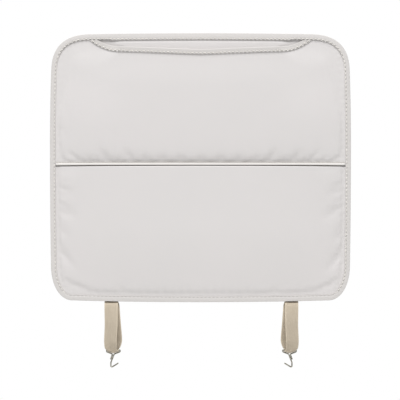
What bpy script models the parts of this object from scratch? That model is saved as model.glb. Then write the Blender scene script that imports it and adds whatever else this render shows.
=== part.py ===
"""Seat back kick mat: a padded leather panel with two pockets and two elastic loops with wire hooks.

The mat stands upright, as it hangs on a seat's back: X runs across it, Z runs up, and the front faces -Y.
The flat back face lies in the plane Y = 0, and the origin is its centre. All sizes are in metres.
"""

from math import cos, exp, hypot, pi, radians, sin

import bmesh
import bpy
import numpy as np
from mathutils import Vector

# Driving sizes of the panel's outline
PANEL_WIDTH = 0.4494
PANEL_HEIGHT = 0.4021
TOP_CORNER_ACROSS = 0.0610
TOP_CORNER_UP = 0.0570
TOP_CORNER_POWER = 2.8
BOTTOM_CORNER_ACROSS = 0.0310
BOTTOM_CORNER_UP = 0.0510
BOTTOM_CORNER_POWER = 2.1
UPPER_SIDE_BOW = 0.0060
LOWER_SIDE_BOW = 0.0018
TOP_BOW = 0.0030
BOTTOM_BOW = 0.0036
WIDEST_HEIGHT = 0.035

# Thicknesses, from the back to the front, and the gap kept between sewn layers
SEAM_GAP = 0.0003
EDGE_CLEARANCE = 0.0008
BINDING_THICKNESS = 0.0009
LINING_THICKNESS = 0.0008
BASE_THICKNESS = 0.0010
PANEL_PRESSED = 0.0012
PANEL_THICKNESS = 0.0022
STRAP_THICKNESS = 0.0011
FOAM_THICKNESS = 0.0030

# The bound edge and the padded field
LIP_WIDTH = 0.0090
FIELD_INSET = 0.0100
FIELD_RAMP = 0.0060

# How the pocket panels rise from their seams: quickly from the middle seam, slowly from the edges
PRESSED_MARGIN = 0.0030
EDGE_ROLL = 0.0160
UPPER_SIDE_RUN = 0.0300
LOWER_SIDE_RUN = 0.0280
UPPER_RISE = 0.1500
LOWER_RISE = 0.1050
SEAM_RISES = ((0.18, 0.0035), (0.21, 0.0140))

# The seam across the middle, and the two pockets
SEAM_HEIGHT = 0.0035
BAND_WIDTH = 0.0050
UPPER_POCKET_GAP = 0.0056
LOWER_POCKET_GAP = 0.0058
LOWER_MOUTH_HEIGHT = 0.0009
LOWER_MOUTH_CROWN = 0.0012

# The curved mouth of the upper pocket, measured to the lower edge of the strip that binds it
MOUTH_DROP = 0.0328
MOUTH_DIP = 0.0055
MOUTH_SIDE_MARGIN = 0.1000
MOUTH_END_RISE = 0.0170
MOUTH_END_RUN = 0.0455
MOUTH_STRIP_WIDTH = 0.0080
MOUTH_STRIP_CLEARANCE = 0.0011

# Elastic loops
STRAP_WIDTH = 0.0200
STRAP_FOLD_WIDTH = 0.0170
STRAP_OFFSET = 0.1347
STRAP_TAIL = 0.0075
STRAP_DROP = 0.0030
LOOP_LENGTH = 0.0781
LOOP_SPREAD = 0.0135
LOOP_SHIFT = 0.0034
LOOP_TURN = radians(18.0)
FOLD_DIP = 0.0034
FOLD_RADIUS = 0.0034

# Wire hooks
WIRE_DIAMETER = 0.0020
EYE_DEPTH = 0.0064
STEM_LENGTH = 0.0184
STEM_LEAN = 0.0022
HOOK_REACH = 0.0088
HOOK_RISE = 0.0068
HOOK_TURN = radians(25.0)
EYE_BEND = 0.0016
FOOT_BEND = 0.0020

# Places worked out from the sizes above
HALF_WIDTH = PANEL_WIDTH / 2.0
HALF_HEIGHT = PANEL_HEIGHT / 2.0
TAIL_BACK = -(SEAM_GAP / 2.0 + STRAP_THICKNESS / 2.0)
TAIL_FRONT = TAIL_BACK - STRAP_THICKNESS - SEAM_GAP
LIP_BACK = TAIL_FRONT - STRAP_THICKNESS / 2.0 - SEAM_GAP
LINING_BACK = LIP_BACK - BINDING_THICKNESS - SEAM_GAP
BASE_BACK = LINING_BACK - LINING_THICKNESS - SEAM_GAP
BASE_FRONT = BASE_BACK - BASE_THICKNESS
PANEL_BACK = BASE_FRONT - SEAM_GAP
PANEL_FRONT = PANEL_BACK - PANEL_PRESSED
TRIM_BACK = PANEL_FRONT - SEAM_GAP
LAYER_INSET = BINDING_THICKNESS + EDGE_CLEARANCE
MOUTH_STRAIGHT_HALF = HALF_WIDTH - MOUTH_SIDE_MARGIN
FOAM_FRONT = BASE_BACK + SEAM_GAP
FOAM_BACK = min(FOAM_FRONT + FOAM_THICKNESS, -LINING_THICKNESS - SEAM_GAP)

# Mesh resolution
CORNER_STEPS = 7
STRAIGHT_STEPS = 8
COLUMN_SPACING = 0.0030
WELD = 0.00001

COLLECTION = "seat_back_kick_mat"


def clear_scene():
    """Remove every object of the scene that the script starts in."""
    for item in list(bpy.data.objects):
        bpy.data.objects.remove(item, do_unlink=True)


def part_collection():
    """Return the collection that holds the mat's parts."""
    collection = bpy.data.collections.get(COLLECTION)
    if collection is None:
        collection = bpy.data.collections.new(COLLECTION)
        bpy.context.scene.collection.children.link(collection)
    return collection


def finish_material(name, colour, roughness, metallic=0.0):
    """Make a Principled material of one colour."""
    material = bpy.data.materials.new(name)
    material.use_nodes = True
    shader = material.node_tree.nodes["Principled BSDF"]
    shader.inputs["Base Color"].default_value = (*colour, 1.0)
    shader.inputs["Roughness"].default_value = roughness
    shader.inputs["Metallic"].default_value = metallic
    return material


def bowed(x, y, z):
    """Bend the straight-sided layout so that its edges bow out as the real panel's do."""
    bow = UPPER_SIDE_BOW if z > WIDEST_HEIGHT else LOWER_SIDE_BOW
    side = bow / HALF_WIDTH * ((z - WIDEST_HEIGHT) / HALF_HEIGHT) ** 2
    rise = TOP_BOW if z > 0.0 else BOTTOM_BOW
    ends = rise / HALF_HEIGHT * (x / HALF_WIDTH) ** 2
    return Vector((x * (1.0 - side), y, z * (1.0 - ends)))


def ease(distance, run):
    """Rise smoothly from 0 to 1 while distance goes from 0 to run."""
    share = min(max(distance / run, 0.0), 1.0)
    return share * share * (3.0 - 2.0 * share)


def corner(top, inset):
    """Return the inset reach across, the inset reach up and the power of the top or the bottom corners."""
    if top:
        return TOP_CORNER_ACROSS - inset, TOP_CORNER_UP - inset, TOP_CORNER_POWER
    return BOTTOM_CORNER_ACROSS - inset, BOTTOM_CORNER_UP - inset, BOTTOM_CORNER_POWER


def corner_points(top, inset):
    """Return points on the right-hand corner, from its side end to its top or bottom end."""
    across, up, power = corner(top, inset)
    sign = 1.0 if top else -1.0
    points = []
    for step in range(CORNER_STEPS + 1):
        angle = pi / 2.0 * step / CORNER_STEPS
        run = across * (max(cos(angle), 0.0) ** (2.0 / power) - 1.0)
        rise = up * (max(sin(angle), 0.0) ** (2.0 / power) - 1.0)
        points.append((HALF_WIDTH - inset + run, sign * (HALF_HEIGHT - inset + rise)))
    return points


def outline(inset=0.0):
    """Return the closed outline, counter-clockwise seen from the front, without its last point repeated."""
    right_top = corner_points(True, inset)
    right_bottom = corner_points(False, inset)
    half = []
    start = right_bottom[-1]
    for step in range(STRAIGHT_STEPS):
        half.append((start[0] * step / STRAIGHT_STEPS, start[1]))
    half.extend(reversed(right_bottom))
    low, high = right_bottom[0], right_top[0]
    for step in range(1, STRAIGHT_STEPS):
        share = step / STRAIGHT_STEPS
        half.append((low[0], low[1] + (high[1] - low[1]) * share))
    half.extend(right_top)
    end = right_top[-1]
    for step in range(1, STRAIGHT_STEPS + 1):
        half.append((end[0] * (1.0 - step / STRAIGHT_STEPS), end[1]))
    return half + [(-x, z) for x, z in reversed(half[1:-1])]


def edge_height(x, inset, top):
    """Return the height of the top or bottom edge of the inset outline at x."""
    across, up, power = corner(top, inset)
    height = HALF_HEIGHT - inset
    past = (abs(x) - (HALF_WIDTH - inset - across)) / across
    if past > 0.0:
        height += up * (max(1.0 - min(past, 1.0) ** power, 0.0) ** (1.0 / power) - 1.0)
    return height if top else -height


def column_places(inset, extra=()):
    """Return the x of each column of a sheet: close together round the corners, even between them."""
    across = sorted({round(x, 6) for top in (True, False) for x, _ in corner_points(top, inset)})
    inner = across[0]
    steps = 2 * STRAIGHT_STEPS
    middle = [inner * (2.0 * step / steps - 1.0) for step in range(1, steps)]
    places = sorted([-x for x in across] + middle + across + list(extra))
    kept = [places[0]]
    for x in places[1:-1]:
        if min(x - kept[-1], places[-1] - x) > COLUMN_SPACING:
            kept.append(x)
    return kept + [places[-1]]


def mouth_height(x, up):
    """Return the height of the upper mouth's line that lies up above the strip's lower edge."""
    along = abs(x)
    rounding = MOUTH_STRIP_WIDTH
    dip = MOUTH_DIP * (hypot(along, rounding) - rounding) / MOUTH_STRAIGHT_HALF
    past = max(along - MOUTH_STRAIGHT_HALF, 0.0) / MOUTH_END_RUN
    slope = MOUTH_DIP / MOUTH_STRAIGHT_HALF + 2.0 * MOUTH_END_RISE * past / MOUTH_END_RUN
    return HALF_HEIGHT - MOUTH_DROP + dip + MOUTH_END_RISE * past * past + up * hypot(1.0, slope)


def mouth_end(up, inset):
    """Return the x at which that line of the mouth meets the outline inset by inset."""
    low, high = MOUTH_STRAIGHT_HALF, HALF_WIDTH - inset
    for _ in range(40):
        middle = (low + high) / 2.0
        if mouth_height(middle, up) < edge_height(middle, inset, True):
            low = middle
        else:
            high = middle
    return low


PANEL_EDGE_UP = MOUTH_STRIP_WIDTH - BINDING_THICKNESS - EDGE_CLEARANCE
PANEL_TOP_END = mouth_end(PANEL_EDGE_UP, LAYER_INSET)
BARE_EDGE_HALF = PANEL_TOP_END - 3.5 * LIP_WIDTH


def sewn_line(upper):
    """Return the part of the outline that a pocket panel is sewn along, and one step past it, as points."""
    points = []
    ring = outline()
    step = PANEL_HEIGHT / STRAIGHT_STEPS
    for x, z in ring + ring[:1]:
        top_edge = z > HALF_HEIGHT - TOP_CORNER_UP and abs(x) < BARE_EDGE_HALF
        if upper and z > SEAM_HEIGHT - step and not top_edge:
            points.append((x, z))
        if not upper and z < LOWER_MOUTH_HEIGHT + step:
            points.append((x, z))
    return np.array(points)


def distance_to(line, x, z):
    """Return the distance from a point to the nearest of the line's short segments."""
    start, end = line[:-1], line[1:]
    run = end - start
    length = np.maximum((run ** 2).sum(axis=1), 1e-12)
    near = np.linalg.norm(run, axis=1) < PANEL_HEIGHT / 4.0
    share = np.clip(((np.array((x, z)) - start) * run).sum(axis=1) / length, 0.0, 1.0)
    offset = np.array((x, z)) - (start + run * share[:, None])
    return float(np.linalg.norm(offset[near], axis=1).min())


UPPER_SEWN = sewn_line(True)
LOWER_SEWN = sewn_line(False)


def edge_rise(line, x, z, side_run):
    """Return the rise from the sewn edge: 0 on its lip, then ever more slowly up to 1 in the middle."""
    inside = max(HALF_WIDTH - LIP_WIDTH - PRESSED_MARGIN - abs(x), 0.0)
    lip = ease(distance_to(line, x, z) - LIP_WIDTH - PRESSED_MARGIN, EDGE_ROLL)
    return lip * (1.0 - exp(-inside / side_run))


def slow_rise(distance, run):
    """Rise from 0 to 1 over run, ever more slowly."""
    short = 1.0 - min(max(distance / run, 0.0), 1.0)
    return 1.0 - short * short


def upper_lift(x, z):
    """Return how far the upper pocket panel stands away from the base, from 0 at its seams to 1."""
    past = max(z - SEAM_HEIGHT - BAND_WIDTH, 0.0)
    seam = sum(share * (1.0 - exp(-past / run)) for share, run in SEAM_RISES)
    seam += (1.0 - sum(share for share, _ in SEAM_RISES)) * slow_rise(past, UPPER_RISE)
    return seam * edge_rise(UPPER_SEWN, x, z, UPPER_SIDE_RUN)


def lower_lift(x, z):
    """Return how far the lower pocket panel stands away from the base, from 0 at its seams to 1."""
    above = z + HALF_HEIGHT - LIP_WIDTH - PRESSED_MARGIN
    return slow_rise(above, LOWER_RISE) * edge_rise(LOWER_SEWN, x, z, LOWER_SIDE_RUN)


def shaped_grid(columns, rows, place, weight=None, closed=False):
    """Make a mesh from a grid primitive whose points are moved to place(column, row)."""
    mesh = bmesh.new()
    layer = mesh.verts.layers.deform.verify()
    bmesh.ops.create_grid(mesh, x_segments=columns, y_segments=rows, size=1.0)
    for vertex in mesh.verts:
        column = round((vertex.co.x + 1.0) / 2.0 * columns)
        row = round((vertex.co.y + 1.0) / 2.0 * rows)
        vertex.co = place(column, row)
        vertex[layer][0] = 1.0 if weight is None else weight(column, row)
    if closed:
        bmesh.ops.remove_doubles(mesh, verts=mesh.verts, dist=WELD)
    return mesh


def add_sheet(name, mesh, material, thickness, offset=1.0):
    """Add an open surface as an object, with Solidify for its thickness."""
    data = bpy.data.meshes.new(name)
    mesh.to_mesh(data)
    mesh.free()
    data.materials.append(material)
    sheet = bpy.data.objects.new(name, data)
    part_collection().objects.link(sheet)
    sheet.vertex_groups.new(name="thickness")
    solidify = sheet.modifiers.new("thickness", "SOLIDIFY")
    solidify.thickness = thickness
    solidify.offset = offset
    solidify.use_even_offset = False
    solidify.vertex_group = "thickness"
    solidify.thickness_vertex_group = 0.0
    return sheet


def add_layer(name, material, inset, thickness, low, high, back, rows, weight=None, extra=()):
    """Add a layer of the mat: low(x) and high(x) bound it, and back(x, z) is the place of its back face."""
    across = column_places(inset, extra)

    def spot(column, row):
        x = across[column]
        share = rows[row]
        return x, low(x) + (high(x) - low(x)) * share

    def place(column, row):
        x, z = spot(column, row)
        return bowed(x, back(x, z), z)

    def share_of_thickness(column, row):
        return weight(*spot(column, row))

    chosen = share_of_thickness if weight else None
    mesh = shaped_grid(len(across) - 1, len(rows) - 1, place, chosen)
    return add_sheet(name, mesh, material, thickness)


def even_rows(count):
    """Return count steps from 0 to 1."""
    return [row / count for row in range(count + 1)]


def inset_edges(inset):
    """Return the functions for the bottom and top edges of an inset outline."""
    return (lambda x: edge_height(x, inset, False)), (lambda x: edge_height(x, inset, True))


def make_back_lining(material):
    """Make the lining: its edge is caught under the binding, and its field lies in the plane of the back."""
    inner = FIELD_INSET + FIELD_RAMP
    insets = (LAYER_INSET, FIELD_INSET, inner)
    depths = (LINING_BACK, LINING_BACK, 0.0)
    rings = [outline(inset) for inset in insets]
    count = len(rings[0])

    def place(column, row):
        x, z = rings[row][column % count]
        return bowed(x, depths[row], z)

    mesh = shaped_grid(count, len(rings) - 1, place, closed=True)
    open_edges = [edge for edge in mesh.edges if edge.is_boundary]
    rim = [edge for edge in open_edges if all(vertex.co.y > LINING_BACK / 2.0 for vertex in edge.verts)]
    bmesh.ops.contextual_create(mesh, geom=rim)
    return add_sheet("back_lining", mesh, material, LINING_THICKNESS)


def make_foam_core(material):
    """Make the thin foam pad between the lining and the base face."""
    inset = FIELD_INSET + FIELD_RAMP + LINING_THICKNESS
    low, high = inset_edges(inset)
    return add_layer("foam_core", material, inset, FOAM_BACK - FOAM_FRONT, low, high,
                     lambda x, z: FOAM_BACK, even_rows(2))


def make_base_face(material):
    """Make the leather face that both pockets are sewn to."""
    low, high = inset_edges(LAYER_INSET)
    return add_layer("base_face", material, LAYER_INSET, BASE_THICKNESS, low, high,
                     lambda x, z: BASE_BACK, even_rows(4))


def panel_weight(lift):
    """Return the function for a padded panel's thickness, pressed thin along its seams."""
    thin = PANEL_PRESSED / PANEL_THICKNESS
    return lambda x, z: thin + (1.0 - thin) * lift(x, z)


def mouth_columns():
    """Return the extra columns where the upper pocket's mouth runs down into its seams."""
    spacing = LIP_WIDTH * 0.6
    return [side * (PANEL_TOP_END - spacing * step) for side in (-1.0, 1.0) for step in range(9)]


def make_upper_pocket(material):
    """Make the panel of the upper pocket, from the middle seam up to its curved mouth."""
    _, high = inset_edges(LAYER_INSET)
    rows = [0.0, 0.031, 0.044, 0.062, 0.09, 0.13, 0.19, 0.30, 0.48, 0.68, 0.83, 0.91, 0.96, 1.0]
    return add_layer(
        "upper_pocket_panel", material, LAYER_INSET, PANEL_THICKNESS,
        lambda x: SEAM_HEIGHT, lambda x: min(high(x), mouth_height(x, PANEL_EDGE_UP)),
        lambda x, z: PANEL_BACK - UPPER_POCKET_GAP * upper_lift(x, z), rows,
        panel_weight(upper_lift), extra=mouth_columns())


def lower_mouth(x):
    """Return the height of the lower pocket's mouth, which crowns a little in the middle."""
    return LOWER_MOUTH_HEIGHT + LOWER_MOUTH_CROWN * (1.0 - (x / HALF_WIDTH) ** 2)


def make_lower_pocket(material):
    """Make the panel of the lower pocket, from the bottom edge up to its mouth."""
    low, _ = inset_edges(LAYER_INSET)
    rows = [0.0, 0.045, 0.08, 0.12, 0.18, 0.27, 0.40, 0.56, 0.75, 0.90, 1.0]
    return add_layer(
        "lower_pocket_panel", material, LAYER_INSET, PANEL_THICKNESS, low, lower_mouth,
        lambda x, z: PANEL_BACK - LOWER_POCKET_GAP * lower_lift(x, z), rows,
        panel_weight(lower_lift))


def edge_front(x, z):
    """Return where the stack of layers ends at the outline: further back where only the base is bound."""
    bare = ease(BARE_EDGE_HALF - abs(x), 2.0 * LIP_WIDTH) if z > HALF_HEIGHT / 2.0 else 0.0
    return TRIM_BACK - BINDING_THICKNESS + (PANEL_PRESSED + SEAM_GAP) * bare


def make_edge_binding(material):
    """Make the strip that is folded round the whole edge, as a U that closes on itself."""
    ring = outline()
    count = len(ring)
    roll = BINDING_THICKNESS * 1.6
    normals = []
    for index, _ in enumerate(ring):
        before, after = Vector(ring[index - 1]), Vector(ring[(index + 1) % count])
        run = (after - before).normalized()
        normals.append(Vector((-run.y, run.x)))

    def place(column, row):
        x, z = ring[column % count]
        front = edge_front(x, z)
        profile = (
            (LIP_WIDTH, LIP_BACK),
            (roll, LIP_BACK),
            (roll * 0.3, LIP_BACK - roll * 0.3),
            (0.0, LIP_BACK - roll),
            (0.0, front + roll),
            (roll * 0.3, front + roll * 0.3),
            (roll, front),
            (LIP_WIDTH, front),
        )
        inset, y = profile[row]
        inward = normals[column % count]
        return bowed(x + inward.x * inset, y, z + inward.y * inset)

    mesh = shaped_grid(count, 7, place, closed=True)
    binding = add_sheet("edge_binding", mesh, material, BINDING_THICKNESS, offset=-1.0)
    binding.modifiers["thickness"].use_even_offset = True
    return binding


def make_folded_strip(name, material, lower, upper, reach, front):
    """Make a strip that lies on a panel and turns in over one edge of it.

    lower and upper are the heights of its long edges at x, and reach(share) is how far it runs to each side
    at that share of its width. front(row) gives a row's share of the width and the place of its back face.
    """
    steps = 4 * STRAIGHT_STEPS

    def place(column, row):
        across = sin(pi * (column / steps - 0.5))
        share, depth = front(row)
        x = across * reach(share)
        z = lower(x) + (upper(x) - lower(x)) * share
        return bowed(x, depth(x, z), z)

    mesh = shaped_grid(steps, 3, place)
    strip = add_sheet(name, mesh, material, BINDING_THICKNESS)
    strip.modifiers["thickness"].use_even_offset = True
    return strip


def upper_face(x, z):
    """Return the front face of the upper pocket panel."""
    lift = upper_lift(x, z)
    thickness = PANEL_PRESSED + (PANEL_THICKNESS - PANEL_PRESSED) * lift
    return PANEL_BACK - UPPER_POCKET_GAP * lift - thickness


def make_mouth_binding(material):
    """Make the curved strip that is folded over the mouth of the upper pocket."""
    turned = MOUTH_STRIP_WIDTH - BINDING_THICKNESS

    def front(row):
        share = (0.0, 0.5, turned / MOUTH_STRIP_WIDTH, turned / MOUTH_STRIP_WIDTH)[row]
        if row < 3:
            return share, lambda x, z: upper_face(x, z) - MOUTH_STRIP_CLEARANCE
        return share, lambda x, z: PANEL_BACK - UPPER_POCKET_GAP * upper_lift(x, z)

    return make_folded_strip(
        "upper_mouth_binding", material,
        lambda x: mouth_height(x, 0.0), lambda x: mouth_height(x, MOUTH_STRIP_WIDTH),
        lambda share: mouth_end(share * MOUTH_STRIP_WIDTH, LIP_WIDTH + 4.0 * SEAM_GAP), front)


def make_middle_band(material):
    """Make the band along the middle seam, which covers the lower edge of the upper pocket panel."""
    bottom = SEAM_HEIGHT - SEAM_GAP

    def front(row):
        share = (0.0, 0.0, 0.5, 1.0)[row]
        back = PANEL_BACK if row == 0 else TRIM_BACK
        return share, lambda x, z: back

    return make_folded_strip(
        "middle_band", material, lambda x: bottom, lambda x: bottom + BAND_WIDTH,
        lambda share: HALF_WIDTH - LIP_WIDTH - 4.0 * SEAM_GAP, front)


def loop_levels():
    """Return the heights that shape a loop: its tails' ends, the edge that it hangs from and its fold."""
    edge = bowed(STRAP_OFFSET, 0.0, -HALF_HEIGHT).z
    return edge + STRAP_TAIL, edge, edge - LOOP_LENGTH


def smooth_path(knots, count):
    """Return points evenly spread on a curve through the knots, which turns back only at a knot."""
    knots = np.array(knots)
    runs = np.diff(knots, axis=0)
    before, after = runs[:-1], runs[1:]
    total = before + after
    blended = 2.0 * before * after / np.where(total == 0.0, 1.0, total)
    slopes = np.vstack([runs[:1], np.where(before * after > 0.0, blended, 0.0), runs[-1:]])
    dense = []
    for index, run in enumerate(runs):
        for t in np.arange(0.0, 1.0, 0.05):
            lead = (t - 2.0 * t ** 2 + t ** 3) * slopes[index] + (t ** 3 - t ** 2) * slopes[index + 1]
            dense.append(knots[index] + (3.0 * t ** 2 - 2.0 * t ** 3) * run + lead)
    dense = np.vstack([dense, knots[-1:]])
    steps = np.linalg.norm(np.diff(dense[:, :3], axis=0), axis=1)
    lengths = np.concatenate([[0.0], np.cumsum(steps)])
    places = np.linspace(0.0, lengths[-1], count)
    return np.column_stack([np.interp(places, lengths, dense[:, axis]) for axis in range(knots.shape[1])])


def fold_centre():
    """Return the middle of a loop's fold, as y and z: the wire of the hook's eye passes there."""
    _, _, fold = loop_levels()
    y = -(STRAP_WIDTH / 2.0 * sin(LOOP_TURN) + STRAP_THICKNESS + LOOP_SPREAD / 2.0)
    return y, fold + FOLD_DIP + STRAP_THICKNESS + SEAM_GAP + WIRE_DIAMETER / 2.0


def make_elastic_strap(name, side, material):
    """Make one loop of flat elastic: two tails behind the bound edge, two legs and the fold between them.

    Each knot of its path holds the sideways shift, y, z, the half width and the turn about the vertical.
    """
    tail, edge, fold = loop_levels()
    middle, bar = fold_centre()
    front, back = middle - LOOP_SPREAD / 2.0, middle + LOOP_SPREAD / 2.0
    wide, narrow = STRAP_WIDTH / 2.0, STRAP_FOLD_WIDTH / 2.0
    belly = fold + 0.26 * LOOP_LENGTH
    half = edge - 0.42 * LOOP_LENGTH
    low = fold + STRAP_THICKNESS / 2.0 + FOLD_DIP / 2.0
    knots = [
        (0.0, TAIL_FRONT, tail, wide, 0.0),
        (0.0, TAIL_FRONT, edge + STRAP_TAIL / 2.0, wide, 0.0),
        (0.0, TAIL_FRONT, edge, wide, 0.0),
        (0.0, TAIL_FRONT, edge - STRAP_DROP, wide, 0.0),
        (0.0, (TAIL_FRONT * 2.0 + front) / 3.0, edge - 0.14 * LOOP_LENGTH, wide, 0.2 * LOOP_TURN),
        (0.1 * LOOP_SHIFT, front * 0.85 + middle * 0.15, half, wide, 0.8 * LOOP_TURN),
        (-0.2 * LOOP_SHIFT, front, belly, wide, LOOP_TURN),
        (0.0, middle - FOLD_RADIUS, bar, narrow, 0.0),
        (LOOP_SHIFT, middle - 0.7 * FOLD_RADIUS, low + 0.3 * FOLD_RADIUS, narrow, 0.0),
        (LOOP_SHIFT, middle, low, narrow, 0.0),
        (LOOP_SHIFT, middle + 0.7 * FOLD_RADIUS, low + 0.3 * FOLD_RADIUS, narrow, 0.0),
        (LOOP_SHIFT, middle + FOLD_RADIUS, bar, narrow, 0.0),
        (2.0 * LOOP_SHIFT, back, belly, wide, LOOP_TURN),
        (1.2 * LOOP_SHIFT, back * 0.85 + middle * 0.15, half, wide, 0.8 * LOOP_TURN),
        (0.2 * LOOP_SHIFT, (TAIL_BACK * 2.0 + back) / 3.0, edge - 0.14 * LOOP_LENGTH, wide, 0.2 * LOOP_TURN),
        (0.0, TAIL_BACK, edge - STRAP_DROP, wide, 0.0),
        (0.0, TAIL_BACK, edge, wide, 0.0),
        (0.0, TAIL_BACK, edge + STRAP_TAIL / 2.0, wide, 0.0),
        (0.0, TAIL_BACK, tail, wide, 0.0),
    ]
    path = smooth_path(knots, 62)
    across = 4

    def place(column, row):
        shift, y, z, half_width, turn = path[column]
        along = 2.0 * row / across - 1.0
        near_fold = ease(bar + FOLD_RADIUS - z, FOLD_RADIUS)
        lift = FOLD_DIP * (abs(along) - 0.5) * near_fold
        run = half_width * along
        x = side * (STRAP_OFFSET - shift - run * cos(turn))
        return Vector((x, y - run * sin(turn), z + lift))

    mesh = shaped_grid(len(path) - 1, across, place)
    bmesh.ops.recalc_face_normals(mesh, faces=mesh.faces)
    strap = add_sheet(name, mesh, material, STRAP_THICKNESS, offset=0.0)
    strap.modifiers["thickness"].use_even_offset = True
    return strap


def rounded(corners, radii, steps=4):
    """Return a path through the corners, with each inner corner turned into an arc of its radius."""
    points = [Vector(corners[0])]
    for before, at, after, radius in zip(corners, corners[1:], corners[2:], radii):
        back = (Vector(before) - Vector(at))
        ahead = (Vector(after) - Vector(at))
        angle = back.angle(ahead)
        trim = min(radius / max(np.tan(angle / 2.0), 0.05), back.length * 0.48, ahead.length * 0.48)
        start = Vector(at) + back.normalized() * trim
        end = Vector(at) + ahead.normalized() * trim
        for step in range(steps + 1):
            t = step / steps
            points.append(start * (1.0 - t) ** 2 + Vector(at) * 2.0 * t * (1.0 - t) + end * t ** 2)
    points.append(Vector(corners[-1]))
    return points


def make_hook(name, side, material):
    """Make one hook of bent wire: an eye round the loop's fold, a stem of both wires and an open hook."""
    middle, bar = fold_centre()
    radius = WIRE_DIAMETER / 2.0
    half_eye = STRAP_FOLD_WIDTH / 2.0 + SEAM_GAP + radius + SEAM_GAP
    twin = radius + SEAM_GAP / 2.0
    shoulder = bar - 0.5 * EYE_DEPTH
    apex = bar - EYE_DEPTH - radius
    foot = apex - STEM_LENGTH
    centre = STRAP_OFFSET - LOOP_SHIFT
    flat = [
        (-twin, apex - 0.35 * STEM_LENGTH),
        (-twin, apex),
        (-half_eye, shoulder),
        (-half_eye, bar),
        (half_eye, bar),
        (half_eye, shoulder),
        (twin, apex),
        (twin, apex - 0.35 * STEM_LENGTH),
        (0.0, apex - 0.6 * STEM_LENGTH),
        (-STEM_LEAN, foot),
        (HOOK_REACH, foot + HOOK_RISE),
    ]
    corners = []
    for run, z in flat:
        turn = HOOK_TURN if z <= foot + HOOK_RISE and run > 0.0 else 0.0
        x = side * (centre - run * cos(turn))
        corners.append((x, middle - run * sin(turn), z))
    points = rounded(corners, [EYE_BEND] * (len(corners) - 3) + [FOOT_BEND])
    curve = bpy.data.curves.new(name, "CURVE")
    curve.dimensions = "3D"
    curve.bevel_depth = radius
    curve.bevel_resolution = 2
    curve.use_fill_caps = True
    spline = curve.splines.new("POLY")
    spline.points.add(len(points) - 1)
    for point, place in zip(spline.points, points):
        point.co = (*place, 1.0)
    curve.materials.append(material)
    hook = bpy.data.objects.new(name, curve)
    part_collection().objects.link(hook)
    return hook


def main():
    """Build every piece of the mat."""
    clear_scene()
    leather = finish_material("panel_leather", (0.72, 0.70, 0.67), 0.50)
    trim = finish_material("trim_leather", (0.78, 0.76, 0.73), 0.45)
    lining = finish_material("lining_fabric", (0.66, 0.64, 0.60), 0.85)
    foam = finish_material("foam", (0.80, 0.78, 0.70), 0.95)
    elastic = finish_material("elastic_webbing", (0.60, 0.52, 0.41), 0.80)
    plated = finish_material("plated_wire", (0.70, 0.69, 0.66), 0.22, 1.0)
    make_back_lining(lining)
    make_foam_core(foam)
    make_base_face(leather)
    make_upper_pocket(leather)
    make_lower_pocket(leather)
    make_edge_binding(trim)
    make_mouth_binding(trim)
    make_middle_band(trim)
    for word, side in (("left", -1.0), ("right", 1.0)):
        make_elastic_strap(f"elastic_strap_{word}", side, elastic)
        make_hook(f"hook_{word}", side, plated)


main()
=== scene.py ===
"""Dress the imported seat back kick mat: padded leather pockets, a bound edge, elastic loops and plated hooks.

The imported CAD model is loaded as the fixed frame, and every piece made here rides on its one body, root.
X runs across the mat, Z runs up, and the front faces -Y. The back lies in the plane Y = 0.
All sizes are in metres.
"""

import logging
from dataclasses import dataclass, replace
from enum import Enum
from math import cos, pi, radians, sin

import bmesh
import bpy
import numpy as np
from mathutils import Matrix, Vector


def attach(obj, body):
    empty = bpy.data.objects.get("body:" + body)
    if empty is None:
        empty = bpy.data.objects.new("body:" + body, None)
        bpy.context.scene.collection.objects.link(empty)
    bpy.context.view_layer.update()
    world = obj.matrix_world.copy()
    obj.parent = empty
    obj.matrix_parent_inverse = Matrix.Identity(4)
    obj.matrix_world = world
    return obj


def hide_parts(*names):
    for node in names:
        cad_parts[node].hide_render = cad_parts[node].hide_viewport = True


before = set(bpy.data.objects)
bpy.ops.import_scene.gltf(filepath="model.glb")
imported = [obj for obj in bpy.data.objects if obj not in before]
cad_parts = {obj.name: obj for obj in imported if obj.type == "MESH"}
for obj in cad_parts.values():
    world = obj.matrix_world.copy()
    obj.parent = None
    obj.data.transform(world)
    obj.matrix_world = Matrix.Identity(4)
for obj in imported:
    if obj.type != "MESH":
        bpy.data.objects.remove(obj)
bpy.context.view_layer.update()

BODY = "root"
EDGE_RADIUS = 0.00045

Colour = tuple[float, float, float]
Array = np.ndarray

log = logging.getLogger("kick_mat")


class Side(Enum):
    """The two sides of the mat that carry a loop, seen from the front."""

    LEFT = -1.0
    RIGHT = 1.0


class Facing(Enum):
    """The way that a row of stitches faces."""

    FRONT = (0.0, -1.0, 0.0)
    BACK = (0.0, 1.0, 0.0)


class Pocket(Enum):
    """The two pocket panels."""

    UPPER = "upper"
    LOWER = "lower"


def ease(distance: Array, run: float) -> Array:
    """Rise smoothly from 0 to 1 while distance goes from 0 to run."""
    share = np.clip(distance / run, 0.0, 1.0)
    return share * share * (3.0 - 2.0 * share)


def slow_rise(distance: Array, run: float) -> Array:
    """Rise from 0 to 1 over run, ever more slowly."""
    return 1.0 - (1.0 - np.clip(distance / run, 0.0, 1.0)) ** 2


def hump(distance: Array, spread: float) -> Array:
    """Fall off smoothly from 1 at distance 0, over about spread."""
    return np.exp(-((distance / spread) ** 2))


def rounding(distance: Array) -> Array:
    """Return how far a leather strip's cut edge falls back, at a distance from that edge."""
    corner = np.clip(1.0 - distance / EDGE_RADIUS, 0.0, 1.0)
    return EDGE_RADIUS * (1.0 - np.sqrt(1.0 - corner ** 2))


def denser_ends(count: int, straight: float) -> Array:
    """Return count places from -1 to 1, closer together towards both ends. At straight 1 they are even."""
    turn = np.linspace(-1.0, 1.0, count)
    return straight * turn + (1.0 - straight) * np.sin(pi / 2.0 * turn)


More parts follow.
